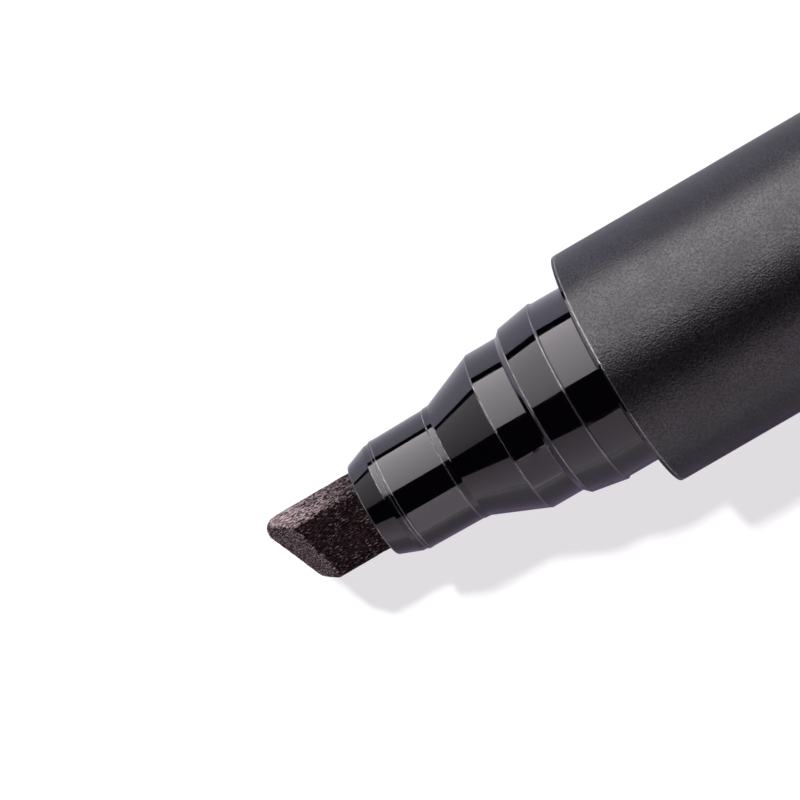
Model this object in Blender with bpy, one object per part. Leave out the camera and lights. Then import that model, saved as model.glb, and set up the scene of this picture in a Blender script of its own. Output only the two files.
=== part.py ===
"""Permanent marker with a chisel nib, modelled piece by piece as it comes apart on a bench.

The marker lies on its side along X with the nib towards -X and its cap posted on the rear end.
Z is up, the marker lies on the plane Z = 0, and X = 0 is the middle of its whole length.
Each piece is drawn along the marker's axis, with x = 0 at the front face of the barrel.
"""

import math

import bmesh
import bpy
from mathutils import Matrix, Vector

MM = 0.001

# Turn of the whole marker about its axis, as it lies
LYING_TURN = math.radians(-56.25)

# Fits
PRESS_GAP = 0.15 * MM  # radial gap between pieces that are pressed or snapped together
SEAT_GAP = 0.15 * MM  # gap between faces that rest on each other
SLIDE_GAP = 0.20 * MM  # radial gap between the cap and what it slides over

# Barrel
BARREL_DIAMETER = 16.0 * MM
BARREL_LENGTH = 88.0 * MM
BARREL_WALL = 1.3 * MM
BARREL_RIM_FILLET = 0.35 * MM
MOUTH_LENGTH = 12.0 * MM  # the narrow front stretch that holds the nib holder
MOUTH_RAMP = 0.8 * MM
RIB_COUNT = 6
RIB_THICKNESS = 0.9 * MM
RIB_END_CLEARANCE = 0.8 * MM
RIB_ROOT = 0.4 * MM  # depth to which a rib is sunk in the barrel's wall

# Annular snap that locks the nib holder in the barrel's mouth
SNAP_POSITION = 7.0 * MM
SNAP_WIDTH = 1.4 * MM
SNAP_HEIGHT = 0.35 * MM

# Nib holder, from the barrel forwards
NECK_DROP = 1.86 * MM  # from the barrel's surface down to the neck
NECK_LENGTH = 2.62 * MM
RIDGE_HEIGHT = 0.10 * MM  # of the cap-retaining ridge over the neck
RIDGE_BACK = 0.29 * MM
COLLAR_DROP = 0.40 * MM  # from the ridge down to the front of the collar
COLLAR_LENGTH = 2.33 * MM
COLLAR_STEP = 0.42 * MM
WAIST_DROP = 0.405 * MM  # from the front of the collar down to the waist
WAIST_LENGTH = 2.26 * MM
CONE_LENGTH = 3.58 * MM
CONE_FRONT_DIAMETER = 7.86 * MM
SNOUT_STEP = 0.43 * MM
SNOUT_DIAMETER = 7.74 * MM
SNOUT_FRONT_DIAMETER = 7.64 * MM
SNOUT_LENGTH = 3.95 * MM
LAND_LENGTH = 0.40 * MM  # of the narrow land between the snout and the lip's taper
LAND_DROP = 0.08 * MM
LIP_DIAMETER = 6.30 * MM
LIP_LENGTH = 1.48 * MM
LIP_FILLET = 0.18 * MM
EDGE_FILLET = 0.12 * MM
HOLDER_TAIL = 16.0 * MM  # reach of the holder inside the barrel
HOLDER_TAIL_CHAMFER = 0.3 * MM
HOLDER_TAIL_WALL = 0.79 * MM
CHAMBER_DIAMETER = 8.4 * MM  # air chamber round the nib, behind the slot
CHAMBER_DEPTH = 6.0 * MM  # reach of that chamber in front of the barrel
VENT_GROOVE_WIDTH = 0.8 * MM
VENT_GROOVE_DEPTH = 0.45 * MM

# Chisel nib
NIB_WIDTH = 5.0 * MM
NIB_THICKNESS = 2.5 * MM
NIB_EDGE_FILLET = 0.35 * MM
NIB_REACH = 6.45 * MM  # from the holder's lip to the nose
NIB_NOSE_LENGTH = 1.9 * MM  # along the axis, of the curve that rounds the long corner
NIB_NOSE_DROP = 1.2 * MM  # across the nib, of the same curve
NIB_HEEL_RADIUS = 0.5 * MM  # of the short corner
NIB_SLANT_ANGLE = math.radians(19)  # of the writing edge to a square end
NIB_EDGE_REACH = 5.75 * MM  # from the lip to the middle of the writing edge
NIB_EDGE_DROP = 0.73 * MM  # from the axis down to the same point
NIB_EDGE_OFFSET = 0.50 * MM  # from the nib's middle plane to the same point
NIB_FRONT_ANGLE = math.radians(50)  # of the wide front bevel to the middle plane
NIB_FRONT_SLANT = math.radians(8)
NIB_BACK_ANGLE = math.radians(63)  # of the narrow back bevel to the middle plane
NIB_BACK_SLANT = math.radians(26)
NIB_LAND_DEPTH = 0.08 * MM  # by which the writing edge is worn flat
NIB_TAIL = 8.0 * MM  # reach of the nib behind the barrel's front face
NIB_GAP = 0.15 * MM

# Ink reservoir: fibre core, film wrap and vent tube
RESERVOIR_FRONT = 2.5 * MM
RESERVOIR_LENGTH = 75.5 * MM
WRAP_THICKNESS = 0.25 * MM
WRAP_GAP = 0.10 * MM
VENT_DIAMETER = 1.2 * MM
VENT_BORE = 0.6 * MM
VENT_FRONT_MARGIN = 12.5 * MM  # from the front end of the core to the vent tube
VENT_REAR_MARGIN = 3.0 * MM  # from the vent tube to the rear end of the core

# End plug
PLUG_DEPTH = 8.0 * MM
PLUG_SKIRT_WALL = 1.1 * MM
PLUG_FLANGE = 1.2 * MM
PLUG_FLANGE_FILLET = 0.3 * MM
SPIGOT_LENGTH = 10.0 * MM
SPIGOT_DROP = 0.54 * MM  # from the ridge down to the spigot's end
SPIGOT_END_FILLET = 0.8 * MM
SPIGOT_WALL = 1.4 * MM
FIN_THICKNESS = 1.0 * MM
FIN_ROOT = 0.3 * MM  # depth to which a fin is sunk in the plug's wall

# Cap
CAP_LENGTH = 40.0 * MM
CAP_END_WALL = 1.6 * MM
CAP_END_FILLET = 1.2 * MM
CAP_RIM_FILLET = 0.3 * MM
CAP_LEAD_IN = 0.4 * MM
CAP_CORE_DIAMETER = 10.0 * MM  # hollow between the seal cup and the closed end

# Seal cup inside the cap, which closes on the nib holder's snout
CUP_WALL = 0.8 * MM
CUP_BORE_RELIEF = 0.25 * MM
CUP_LIP_LENGTH = 0.8 * MM
CUP_MOUTH_OVERLAP = 3.2 * MM  # length of the snout that the capped cup covers
CUP_NIB_CLEARANCE = 1.4 * MM
CUP_FLANGE = 1.1 * MM

# Clip on the cap
CLIP_WIDTH = 3.6 * MM
CLIP_THICKNESS = 1.4 * MM
CLIP_FLAT_DEPTH = 0.8 * MM  # from the cap's surface down to the flat under the clip
CLIP_GAP = 0.8 * MM
CLIP_BASE_LENGTH = 6.0 * MM
CLIP_BASE_ROOT = 1.2 * MM  # depth to which the clip's base is sunk below the flat
CLIP_END_SETBACK = 1.4 * MM  # from the cap's closed end to the clip's base
CLIP_TIP_SETBACK = 8.0 * MM  # from the cap's rim to the clip's free end
CLIP_TIP_LENGTH = 2.2 * MM
CLIP_FILLET = 0.5 * MM
CLIP_SIDE_GAP = 0.5 * MM
CLIP_FLAT_MARGIN = 2.0 * MM  # length by which the flat runs past the clip's free end

# Facets
OUTER_SEGMENTS = 48
INNER_SEGMENTS = 32
FILLET_STEPS = 4
CORNER_CUTS = 7
WELD_DISTANCE = 0.001 * MM
SHARP_ANGLE = math.radians(28)
OVERCUT = 1.0 * MM  # length by which a cutter runs past the wall that it cuts

# Radii and stations along the axis that several pieces share
BARREL_RADIUS = BARREL_DIAMETER / 2
BORE_RADIUS = BARREL_RADIUS - BARREL_WALL
NECK_RADIUS = BARREL_RADIUS - NECK_DROP
RIDGE_RADIUS = NECK_RADIUS + RIDGE_HEIGHT
COLLAR_FRONT_RADIUS = RIDGE_RADIUS - COLLAR_DROP
WAIST_RADIUS = COLLAR_FRONT_RADIUS - WAIST_DROP
SPIGOT_END_RADIUS = RIDGE_RADIUS - SPIGOT_DROP
CLIP_FLAT = BARREL_RADIUS - CLIP_FLAT_DEPTH  # distance from the axis to the flat under the clip
MOUTH_RADIUS = NECK_RADIUS + PRESS_GAP
RESERVOIR_SEAT_RADIUS = NECK_RADIUS - HOLDER_TAIL_WALL
RESERVOIR_RADIUS = RESERVOIR_SEAT_RADIUS - PRESS_GAP
RESERVOIR_REAR = RESERVOIR_FRONT + RESERVOIR_LENGTH
CORE_RADIUS = RESERVOIR_RADIUS - WRAP_THICKNESS - WRAP_GAP
VENT_RADIUS = VENT_DIAMETER / 2
VENT_FRONT = RESERVOIR_FRONT + VENT_FRONT_MARGIN
VENT_LENGTH = RESERVOIR_REAR - VENT_REAR_MARGIN - VENT_FRONT

RIDGE_X = -(NECK_LENGTH + RIDGE_BACK)
COLLAR_FRONT_X = RIDGE_X - COLLAR_LENGTH
WAIST_REAR_X = COLLAR_FRONT_X - COLLAR_STEP
WAIST_FRONT_X = WAIST_REAR_X - WAIST_LENGTH
CONE_FRONT_X = WAIST_FRONT_X - CONE_LENGTH
SNOUT_REAR_X = CONE_FRONT_X - SNOUT_STEP
SNOUT_FRONT_X = SNOUT_REAR_X - SNOUT_LENGTH
LAND_FRONT_X = SNOUT_FRONT_X - LAND_LENGTH
LIP_X = LAND_FRONT_X - LIP_LENGTH
NIB_TIP_X = LIP_X - NIB_REACH

PLUG_SKIRT_FRONT_X = BARREL_LENGTH - PLUG_DEPTH
FLANGE_FRONT_X = BARREL_LENGTH + SEAT_GAP
FLANGE_REAR_X = FLANGE_FRONT_X + PLUG_FLANGE
SPIGOT_END_X = FLANGE_REAR_X + SPIGOT_LENGTH
CAP_RIM_X = FLANGE_REAR_X + SEAT_GAP
CAP_END_X = CAP_RIM_X + CAP_LENGTH
CAP_BORE_RADIUS = RIDGE_RADIUS + SLIDE_GAP

MIDDLE_X = (NIB_TIP_X + CAP_END_X) / 2


def clear_scene():
    for old in list(bpy.data.objects):
        bpy.data.objects.remove(old)


def make_material(name, colour, roughness):
    material = bpy.data.materials.new(name)
    material.use_nodes = True
    shader = material.node_tree.nodes["Principled BSDF"]
    shader.inputs["Base Color"].default_value = (*colour, 1.0)
    shader.inputs["Roughness"].default_value = roughness
    shader.inputs["Metallic"].default_value = 0.0
    return material


def make_axis(name, parent, location):
    axis = bpy.data.objects.new(name, None)
    bpy.context.scene.collection.objects.link(axis)
    axis.parent = parent
    axis.location = location
    return axis


def fillet(before, corner, after, radius):
    """Points of the arc that rounds a corner between two straight edges."""
    to_before = before - corner
    to_after = after - corner
    half_angle = to_before.angle(to_after) / 2
    setback = radius / math.tan(half_angle)
    setback = min(setback, 0.45 * to_before.length, 0.45 * to_after.length)
    radius = setback * math.tan(half_angle)
    start = corner + to_before.normalized() * setback
    end = corner + to_after.normalized() * setback
    middle = (to_before.normalized() + to_after.normalized()).normalized()
    centre = corner + middle * (radius / math.sin(half_angle))
    turn = (start - centre).angle_signed(end - centre)
    points = []
    for step in range(FILLET_STEPS + 1):
        spoke = start - centre
        spoke.rotate(Matrix.Rotation(-turn * step / FILLET_STEPS, 2))
        points.append(centre + spoke)
    return points


def outline(corners, closed=True):
    """Flat points of an outline whose corners are (a, b) or (a, b, fillet radius)."""
    flat = [Vector(corner[:2]) for corner in corners]
    points = []
    for index, corner in enumerate(corners):
        is_end = index in (0, len(corners) - 1) and not closed
        if len(corner) < 3 or is_end:
            points.append(flat[index])
            continue
        after = flat[(index + 1) % len(flat)]
        points.extend(fillet(flat[index - 1], flat[index], after, corner[2]))
    return points


def finish_mesh(name, shape, material):
    bmesh.ops.remove_doubles(shape, verts=shape.verts, dist=WELD_DISTANCE)
    bmesh.ops.recalc_face_normals(shape, faces=shape.faces)
    mesh = bpy.data.meshes.new(name)
    shape.to_mesh(mesh)
    shape.free()
    mesh.shade_smooth()
    mesh.set_sharp_from_angle(angle=SHARP_ANGLE)
    if material:
        mesh.materials.append(material)
    return mesh


def add_piece(name, shape, material, parent):
    piece = bpy.data.objects.new(name, finish_mesh(name, shape, material))
    bpy.context.scene.collection.objects.link(piece)
    piece.parent = parent
    return piece


def add_helper(name, shape, parent):
    helper = add_piece(name, shape, None, parent)
    helper.hide_render = True
    helper.display_type = "WIRE"
    return helper


def add_boolean(piece, helper, operation):
    modifier = piece.modifiers.new(helper.name, "BOOLEAN")
    modifier.operation = operation
    modifier.object = helper
    modifier.solver = "EXACT"


def turned(corners, segments, is_ring):
    """A profile of (x, radius) corners turned about the axis: a ring, or a body that meets the axis."""
    shape = bmesh.new()
    points = outline(corners, closed=is_ring)
    verts = [shape.verts.new((x, 0, radius)) for x, radius in points]
    edges = [shape.edges.new(pair) for pair in zip(verts, verts[1:])]
    if is_ring:
        edges.append(shape.edges.new((verts[-1], verts[0])))
    bmesh.ops.spin(
        shape,
        geom=verts + edges,
        cent=(0, 0, 0),
        axis=(1, 0, 0),
        angle=2 * math.pi,
        steps=segments,
        use_merge=True,
    )
    return shape


def extruded(points, start, end, place):
    """A flat outline extruded from start to end; place puts (a, b, depth) into x, y, z."""
    shape = bmesh.new()
    face = shape.faces.new([shape.verts.new(place(a, b, start)) for a, b in points])
    grown = bmesh.ops.extrude_face_region(shape, geom=[face])
    moved = [item for item in grown["geom"] if isinstance(item, bmesh.types.BMVert)]
    step = Vector(place(0, 0, end)) - Vector(place(0, 0, start))
    bmesh.ops.translate(shape, verts=moved, vec=step)
    return shape


def along_axis(y, z, depth):
    return (depth, y, z)


def across_axis(x, z, depth):
    return (x, depth, z)


def rectangle(width, height, radius):
    """Corners of a rounded rectangle that is centred on the axis."""
    half_width = width / 2
    half_height = height / 2
    signs = ((-1, -1), (1, -1), (1, 1), (-1, 1))
    return [(a * half_width, b * half_height, radius) for a, b in signs]


def cross(reach, half_thickness):
    """Outline of two fins that cross on the axis."""
    points = []
    for quarter in range(4):
        turn = Matrix.Rotation(quarter * math.pi / 2, 2)
        arm = ((half_thickness, half_thickness), (reach, half_thickness), (reach, -half_thickness))
        points.extend(turn @ Vector(corner) for corner in reversed(arm))
    return points


def add_box(shape, low, high, turn=0.0):
    """A box between two corners, turned about the axis."""
    size = Vector(high) - Vector(low)
    centre = (Vector(high) + Vector(low)) / 2
    place = Matrix.Rotation(turn, 4, "X") @ Matrix.Translation(centre)
    bmesh.ops.create_cube(shape, size=1.0, matrix=place @ Matrix.Diagonal((*size, 1.0)))


def cut_off(shape, point, normal):
    """Removes what lies beyond a plane and closes the cut."""
    everything = shape.verts[:] + shape.edges[:] + shape.faces[:]
    cut = bmesh.ops.bisect_plane(
        shape, geom=everything, dist=WELD_DISTANCE, plane_co=point, plane_no=normal, clear_outer=True
    )
    rim = [item for item in cut["geom_cut"] if isinstance(item, bmesh.types.BMEdge)]
    if rim:
        bmesh.ops.edgeloop_fill(shape, edges=rim)


def make_barrel(material, axis):
    """Moulded tube with a narrow mouth, a snap groove and ribs that centre the reservoir."""
    groove_front = SNAP_POSITION - SNAP_WIDTH / 2 - SEAT_GAP
    groove_rear = SNAP_POSITION + SNAP_WIDTH / 2 + SEAT_GAP
    groove_radius = MOUTH_RADIUS + SNAP_HEIGHT
    profile = [
        (0, MOUTH_RADIUS),
        (0, BARREL_RADIUS, BARREL_RIM_FILLET),
        (BARREL_LENGTH, BARREL_RADIUS, BARREL_RIM_FILLET),
        (BARREL_LENGTH, BORE_RADIUS),
        (MOUTH_LENGTH + MOUTH_RAMP, BORE_RADIUS),
        (MOUTH_LENGTH, MOUTH_RADIUS),
        (groove_rear, MOUTH_RADIUS),
        (groove_rear - SNAP_HEIGHT, groove_radius),
        (groove_front + SNAP_HEIGHT, groove_radius),
        (groove_front, MOUTH_RADIUS),
    ]
    barrel = add_piece("barrel", turned(profile, OUTER_SEGMENTS, is_ring=True), material, axis)
    ribs = bmesh.new()
    low = (HOLDER_TAIL + RIB_END_CLEARANCE, -RIB_THICKNESS / 2, RESERVOIR_SEAT_RADIUS)
    high = (PLUG_SKIRT_FRONT_X - RIB_END_CLEARANCE, RIB_THICKNESS / 2, BORE_RADIUS + RIB_ROOT)
    for index in range(RIB_COUNT):
        add_box(ribs, low, high, 2 * math.pi * (index + 0.5) / RIB_COUNT)
    add_boolean(barrel, add_helper("barrel_ribs", ribs, axis), "UNION")


def make_nib_holder(material, axis):
    """Stepped front section: lip, land, snout, cone, waist, collar and ridge, neck and snap-in tail."""
    bead_front = SNAP_POSITION - SNAP_WIDTH / 2
    bead_rear = SNAP_POSITION + SNAP_WIDTH / 2
    bead_radius = NECK_RADIUS + SNAP_HEIGHT
    seat_x = RESERVOIR_FRONT - SEAT_GAP
    snout_front_radius = SNOUT_FRONT_DIAMETER / 2
    land_radius = snout_front_radius - LAND_DROP
    chamber_radius = CHAMBER_DIAMETER / 2
    profile = [
        (LIP_X, 0),
        (LIP_X, LIP_DIAMETER / 2, LIP_FILLET),
        (LAND_FRONT_X, land_radius, EDGE_FILLET),
        (SNOUT_FRONT_X, land_radius),
        (SNOUT_FRONT_X, snout_front_radius),
        (SNOUT_REAR_X, SNOUT_DIAMETER / 2, EDGE_FILLET),
        (CONE_FRONT_X, CONE_FRONT_DIAMETER / 2),
        (WAIST_FRONT_X, WAIST_RADIUS, EDGE_FILLET),
        (WAIST_REAR_X, WAIST_RADIUS, EDGE_FILLET),
        (COLLAR_FRONT_X, COLLAR_FRONT_RADIUS, EDGE_FILLET),
        (RIDGE_X, RIDGE_RADIUS, EDGE_FILLET),
        (RIDGE_X + RIDGE_BACK, NECK_RADIUS),
        (bead_front, NECK_RADIUS),
        (bead_front + SNAP_HEIGHT, bead_radius),
        (bead_rear - SNAP_HEIGHT, bead_radius),
        (bead_rear, NECK_RADIUS),
        (HOLDER_TAIL - HOLDER_TAIL_CHAMFER, NECK_RADIUS),
        (HOLDER_TAIL, NECK_RADIUS - HOLDER_TAIL_CHAMFER),
        (HOLDER_TAIL, RESERVOIR_SEAT_RADIUS),
        (seat_x, RESERVOIR_SEAT_RADIUS),
        (seat_x, chamber_radius),
        (-CHAMBER_DEPTH, chamber_radius),
        (-CHAMBER_DEPTH, 0),
    ]
    holder = add_piece("nib_holder", turned(profile, OUTER_SEGMENTS, is_ring=False), material, axis)
    start = LIP_X - OVERCUT
    end = -CHAMBER_DEPTH + OVERCUT
    slot_corners = rectangle(
        NIB_THICKNESS + 2 * NIB_GAP, NIB_WIDTH + 2 * NIB_GAP, NIB_EDGE_FILLET + NIB_GAP
    )
    slot = extruded(outline(slot_corners), start, end, along_axis)
    add_boolean(holder, add_helper("nib_slot", slot, axis), "DIFFERENCE")
    grooves = bmesh.new()
    reach = NIB_THICKNESS / 2 + NIB_GAP + VENT_GROOVE_DEPTH
    half_width = VENT_GROOVE_WIDTH / 2
    add_box(grooves, (start, -reach, -half_width), (end, reach, half_width))
    add_boolean(holder, add_helper("vent_grooves", grooves, axis), "DIFFERENCE")


def round_corner(shape, centre, first_normal, last_normal, length, drop):
    """Rounds an edge by cuts that touch one ellipse."""
    for cut in range(1, CORNER_CUTS + 1):
        normal = first_normal.slerp(last_normal, cut / CORNER_CUTS)
        reach = math.hypot(length * normal.x, drop * normal.z)
        cut_off(shape, centre + normal * reach, normal)


def slanted(angle):
    """Direction out of the nib's end, tipped down by an angle."""
    return Vector((-math.cos(angle), 0, -math.sin(angle)))


def make_nib(material, axis):
    """Fibre bar ground to a slanted chisel: rounded nose and heel, two bevels and a worn edge."""
    corners = rectangle(NIB_THICKNESS, NIB_WIDTH, NIB_EDGE_FILLET)
    nib = extruded(outline(corners), NIB_TIP_X - OVERCUT, NIB_TAIL, along_axis)
    up = Vector((0, 0, 1))
    forward = slanted(NIB_SLANT_ANGLE)
    nose = Vector((NIB_TIP_X + NIB_NOSE_LENGTH, 0, NIB_WIDTH / 2 - NIB_NOSE_DROP))
    round_corner(nib, nose, up, forward, NIB_NOSE_LENGTH, NIB_NOSE_DROP)
    edge = Vector((LIP_X - NIB_EDGE_REACH, NIB_EDGE_OFFSET, -NIB_EDGE_DROP))
    heel_z = NIB_HEEL_RADIUS - NIB_WIDTH / 2
    edge_x = edge.x + (edge.z - heel_z) * math.tan(NIB_SLANT_ANGLE)
    heel = Vector((edge_x + NIB_HEEL_RADIUS / math.cos(NIB_SLANT_ANGLE), 0, heel_z))
    round_corner(nib, heel, forward, -up, NIB_HEEL_RADIUS, NIB_HEEL_RADIUS)
    front = slanted(NIB_FRONT_SLANT) * math.sin(NIB_FRONT_ANGLE)
    front.y = -math.cos(NIB_FRONT_ANGLE)
    back = slanted(NIB_BACK_SLANT) * math.sin(NIB_BACK_ANGLE)
    back.y = math.cos(NIB_BACK_ANGLE)
    crest = (front + back).normalized()
    cut_off(nib, edge, front)
    cut_off(nib, edge, back)
    cut_off(nib, edge - crest * NIB_LAND_DEPTH, crest)
    add_piece("chisel_nib", nib, material, axis)


def make_ink_core(material, axis):
    """Fibre rod that holds the ink, with a groove for the vent tube and a pocket for the nib's tail."""
    rod = turned(
        [
            (RESERVOIR_FRONT, 0),
            (RESERVOIR_FRONT, CORE_RADIUS),
            (RESERVOIR_REAR, CORE_RADIUS),
            (RESERVOIR_REAR, 0),
        ],
        INNER_SEGMENTS,
        is_ring=False,
    )
    core = add_piece("ink_core", rod, material, axis)
    pocket_corners = rectangle(
        NIB_THICKNESS + 2 * NIB_GAP, NIB_WIDTH + 2 * NIB_GAP, NIB_EDGE_FILLET + NIB_GAP
    )
    pocket = extruded(
        outline(pocket_corners), RESERVOIR_FRONT - OVERCUT, NIB_TAIL + NIB_GAP, along_axis
    )
    add_boolean(core, add_helper("nib_pocket", pocket, axis), "DIFFERENCE")
    groove = bmesh.new()
    half_width = VENT_RADIUS + WRAP_GAP
    add_box(
        groove,
        (VENT_FRONT - NIB_GAP, -half_width, vent_height() - half_width),
        (RESERVOIR_REAR + OVERCUT, half_width, CORE_RADIUS + OVERCUT),
    )
    add_boolean(core, add_helper("vent_tube_groove", groove, axis), "DIFFERENCE")


def vent_height():
    """Distance from the marker's axis to the vent tube's own axis."""
    return CORE_RADIUS - VENT_RADIUS


def make_ink_wrap(material, axis):
    """Film sleeve round the fibre core."""
    inner = RESERVOIR_RADIUS - WRAP_THICKNESS
    profile = [
        (RESERVOIR_FRONT, inner),
        (RESERVOIR_FRONT, RESERVOIR_RADIUS),
        (RESERVOIR_REAR, RESERVOIR_RADIUS),
        (RESERVOIR_REAR, inner),
    ]
    add_piece("ink_wrap", turned(profile, INNER_SEGMENTS, is_ring=True), material, axis)


def make_vent_tube(material, axis):
    """Thin tube that lets air in behind the ink."""
    tube_axis = make_axis("vent_tube_axis", axis, (VENT_FRONT, 0, vent_height()))
    profile = [
        (0, VENT_BORE / 2),
        (0, VENT_RADIUS),
        (VENT_LENGTH, VENT_RADIUS),
        (VENT_LENGTH, VENT_BORE / 2),
    ]
    add_piece("vent_tube", turned(profile, INNER_SEGMENTS // 2, is_ring=True), material, tube_axis)


def make_end_plug(material, axis):
    """Rear plug: skirt in the barrel, flange, and a spigot shaped like the neck for the posted cap."""
    skirt_radius = BORE_RADIUS - PRESS_GAP
    hollow_radius = SPIGOT_END_RADIUS - SPIGOT_WALL
    hollow_end = SPIGOT_END_X - SPIGOT_WALL
    ridge_x = FLANGE_REAR_X + NECK_LENGTH + RIDGE_BACK
    profile = [
        (SPIGOT_END_X, 0),
        (SPIGOT_END_X, SPIGOT_END_RADIUS, SPIGOT_END_FILLET),
        (ridge_x, RIDGE_RADIUS, EDGE_FILLET),
        (FLANGE_REAR_X + NECK_LENGTH, NECK_RADIUS),
        (FLANGE_REAR_X, NECK_RADIUS),
        (FLANGE_REAR_X, BARREL_RADIUS, PLUG_FLANGE_FILLET),
        (FLANGE_FRONT_X, BARREL_RADIUS, PLUG_FLANGE_FILLET),
        (FLANGE_FRONT_X, skirt_radius),
        (PLUG_SKIRT_FRONT_X, skirt_radius, PLUG_FLANGE_FILLET),
        (PLUG_SKIRT_FRONT_X, skirt_radius - PLUG_SKIRT_WALL),
        (FLANGE_FRONT_X, skirt_radius - PLUG_SKIRT_WALL),
        (FLANGE_FRONT_X, hollow_radius),
        (hollow_end, hollow_radius),
        (hollow_end, 0),
    ]
    shape = turned(profile, OUTER_SEGMENTS, is_ring=False)
    plug = add_piece("end_plug", shape, material, axis)
    fin_front = RESERVOIR_REAR + SEAT_GAP
    fin_rear = hollow_end + FIN_ROOT
    fins = extruded(cross(hollow_radius + FIN_ROOT, FIN_THICKNESS / 2), fin_front, fin_rear, along_axis)
    add_boolean(plug, add_helper("plug_fins", fins, axis), "UNION")


def clip_outer_distance():
    """Distance from the cap's axis to the clip's outer face."""
    return CLIP_FLAT + CLIP_GAP + CLIP_THICKNESS


def clip_turn():
    """Turn about the axis that brings an outer edge of the clip down to the surface under the marker."""
    corner = math.hypot(clip_outer_distance(), CLIP_WIDTH / 2)
    half_width_angle = math.atan2(CLIP_WIDTH / 2, clip_outer_distance())
    from_below = math.acos(BARREL_RADIUS / corner) + half_width_angle
    return math.pi - from_below


def cup_mouth():
    """Depth in the cap at which the seal cup begins."""
    return -SNOUT_FRONT_X - CUP_MOUTH_OVERLAP


def cup_bottom():
    """Depth in the cap of the seal cup's floor, clear of the capped nib."""
    return -NIB_TIP_X + CUP_NIB_CLEARANCE


def make_cap_shell(material, cap_axis):
    """Outer cap, flush with the barrel, with a moulded clip over a flat."""
    shoulder = cup_bottom() + CUP_FLANGE + SEAT_GAP
    profile = [
        (CAP_LENGTH, 0),
        (CAP_LENGTH, BARREL_RADIUS, CAP_END_FILLET),
        (0, BARREL_RADIUS, CAP_RIM_FILLET),
        (0, CAP_BORE_RADIUS + CAP_LEAD_IN),
        (CAP_LEAD_IN, CAP_BORE_RADIUS),
        (shoulder, CAP_BORE_RADIUS),
        (shoulder, CAP_CORE_DIAMETER / 2),
        (CAP_LENGTH - CAP_END_WALL, CAP_CORE_DIAMETER / 2),
        (CAP_LENGTH - CAP_END_WALL, 0),
    ]
    cap = add_piece("cap_shell", turned(profile, OUTER_SEGMENTS, is_ring=False), material, cap_axis)
    base_rear = CAP_LENGTH - CLIP_END_SETBACK
    base_front = base_rear - CLIP_BASE_LENGTH
    flat = bmesh.new()
    half_flat = CLIP_WIDTH / 2 + CLIP_SIDE_GAP
    add_box(
        flat,
        (CLIP_TIP_SETBACK - CLIP_FLAT_MARGIN, -half_flat, CLIP_FLAT),
        (base_front + CLIP_SIDE_GAP, half_flat, BARREL_RADIUS + OVERCUT),
    )
    add_boolean(cap, add_helper("clip_flat", flat, cap_axis), "DIFFERENCE")
    outer = clip_outer_distance()
    inner = CLIP_FLAT + CLIP_GAP
    tip_inner = CLIP_FLAT + SEAT_GAP
    tip_rear = CLIP_TIP_SETBACK + CLIP_TIP_LENGTH
    corners = [
        (base_rear, CLIP_FLAT - CLIP_BASE_ROOT),
        (base_rear, outer, CLIP_FILLET),
        (CLIP_TIP_SETBACK, outer, CLIP_FILLET),
        (CLIP_TIP_SETBACK, inner, CLIP_FILLET),
        (CLIP_TIP_SETBACK + CLIP_TIP_LENGTH / 2, tip_inner, CLIP_FILLET),
        (tip_rear, inner, CLIP_FILLET),
        (base_front, inner, CLIP_FILLET),
        (base_front, CLIP_FLAT - CLIP_BASE_ROOT),
    ]
    clip = extruded(outline(corners), -CLIP_WIDTH / 2, CLIP_WIDTH / 2, across_axis)
    add_boolean(cap, add_helper("clip_arm", clip, cap_axis), "UNION")


def make_seal_cup(material, cap_axis):
    """Inner cup of the cap, whose lip closes on the snout so that the nib can't dry out."""
    lip_radius = SNOUT_DIAMETER / 2 + SLIDE_GAP
    bore_radius = lip_radius + CUP_BORE_RELIEF
    outer_radius = bore_radius + CUP_WALL
    flange_radius = CAP_BORE_RADIUS - PRESS_GAP
    flange_rear = cup_bottom() + CUP_FLANGE
    profile = [
        (flange_rear, 0),
        (flange_rear, flange_radius),
        (cup_bottom(), flange_radius),
        (cup_bottom(), outer_radius),
        (cup_mouth(), outer_radius, CLIP_FILLET / 2),
        (cup_mouth(), lip_radius, EDGE_FILLET),
        (cup_mouth() + CUP_LIP_LENGTH, lip_radius),
        (cup_mouth() + CUP_LIP_LENGTH + CUP_BORE_RELIEF, bore_radius),
        (cup_bottom(), bore_radius),
        (cup_bottom(), 0),
    ]
    add_piece("seal_cup", turned(profile, INNER_SEGMENTS, is_ring=False), material, cap_axis)


def main():
    clear_scene()
    textured = make_material("textured_black", (0.030, 0.029, 0.031), 0.55)
    glossy = make_material("gloss_black", (0.010, 0.009, 0.011), 0.12)
    felt = make_material("inked_felt", (0.030, 0.024, 0.026), 0.90)
    fibre = make_material("ink_fibre", (0.020, 0.018, 0.024), 0.95)
    film = make_material("clear_film", (0.75, 0.76, 0.78), 0.25)
    natural = make_material("natural_plastic", (0.70, 0.70, 0.68), 0.45)
    axis = make_axis("marker_axis", None, (-MIDDLE_X, 0, BARREL_RADIUS))
    axis.rotation_euler.x = LYING_TURN
    make_barrel(textured, axis)
    make_nib_holder(glossy, axis)
    make_nib(felt, axis)
    make_ink_core(fibre, axis)
    make_ink_wrap(film, axis)
    make_vent_tube(natural, axis)
    make_end_plug(glossy, axis)
    cap_axis = make_axis("cap_axis", axis, (CAP_RIM_X, 0, 0))
    cap_axis.rotation_euler.x = clip_turn() - LYING_TURN
    make_cap_shell(textured, cap_axis)
    make_seal_cup(natural, cap_axis)


main()
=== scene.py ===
"""Studio picture of a permanent marker, with its chisel nib bare and its cap posted on the rear end.

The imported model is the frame. Each piece that shows is built again here as a fine mesh of the same
size and in the same place, with its own finish, and stands for its solid. Lengths are in metres.
Pieces are drawn along the marker's axis, with x = 0 at the front face of the barrel's solid.
"""

import math

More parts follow.
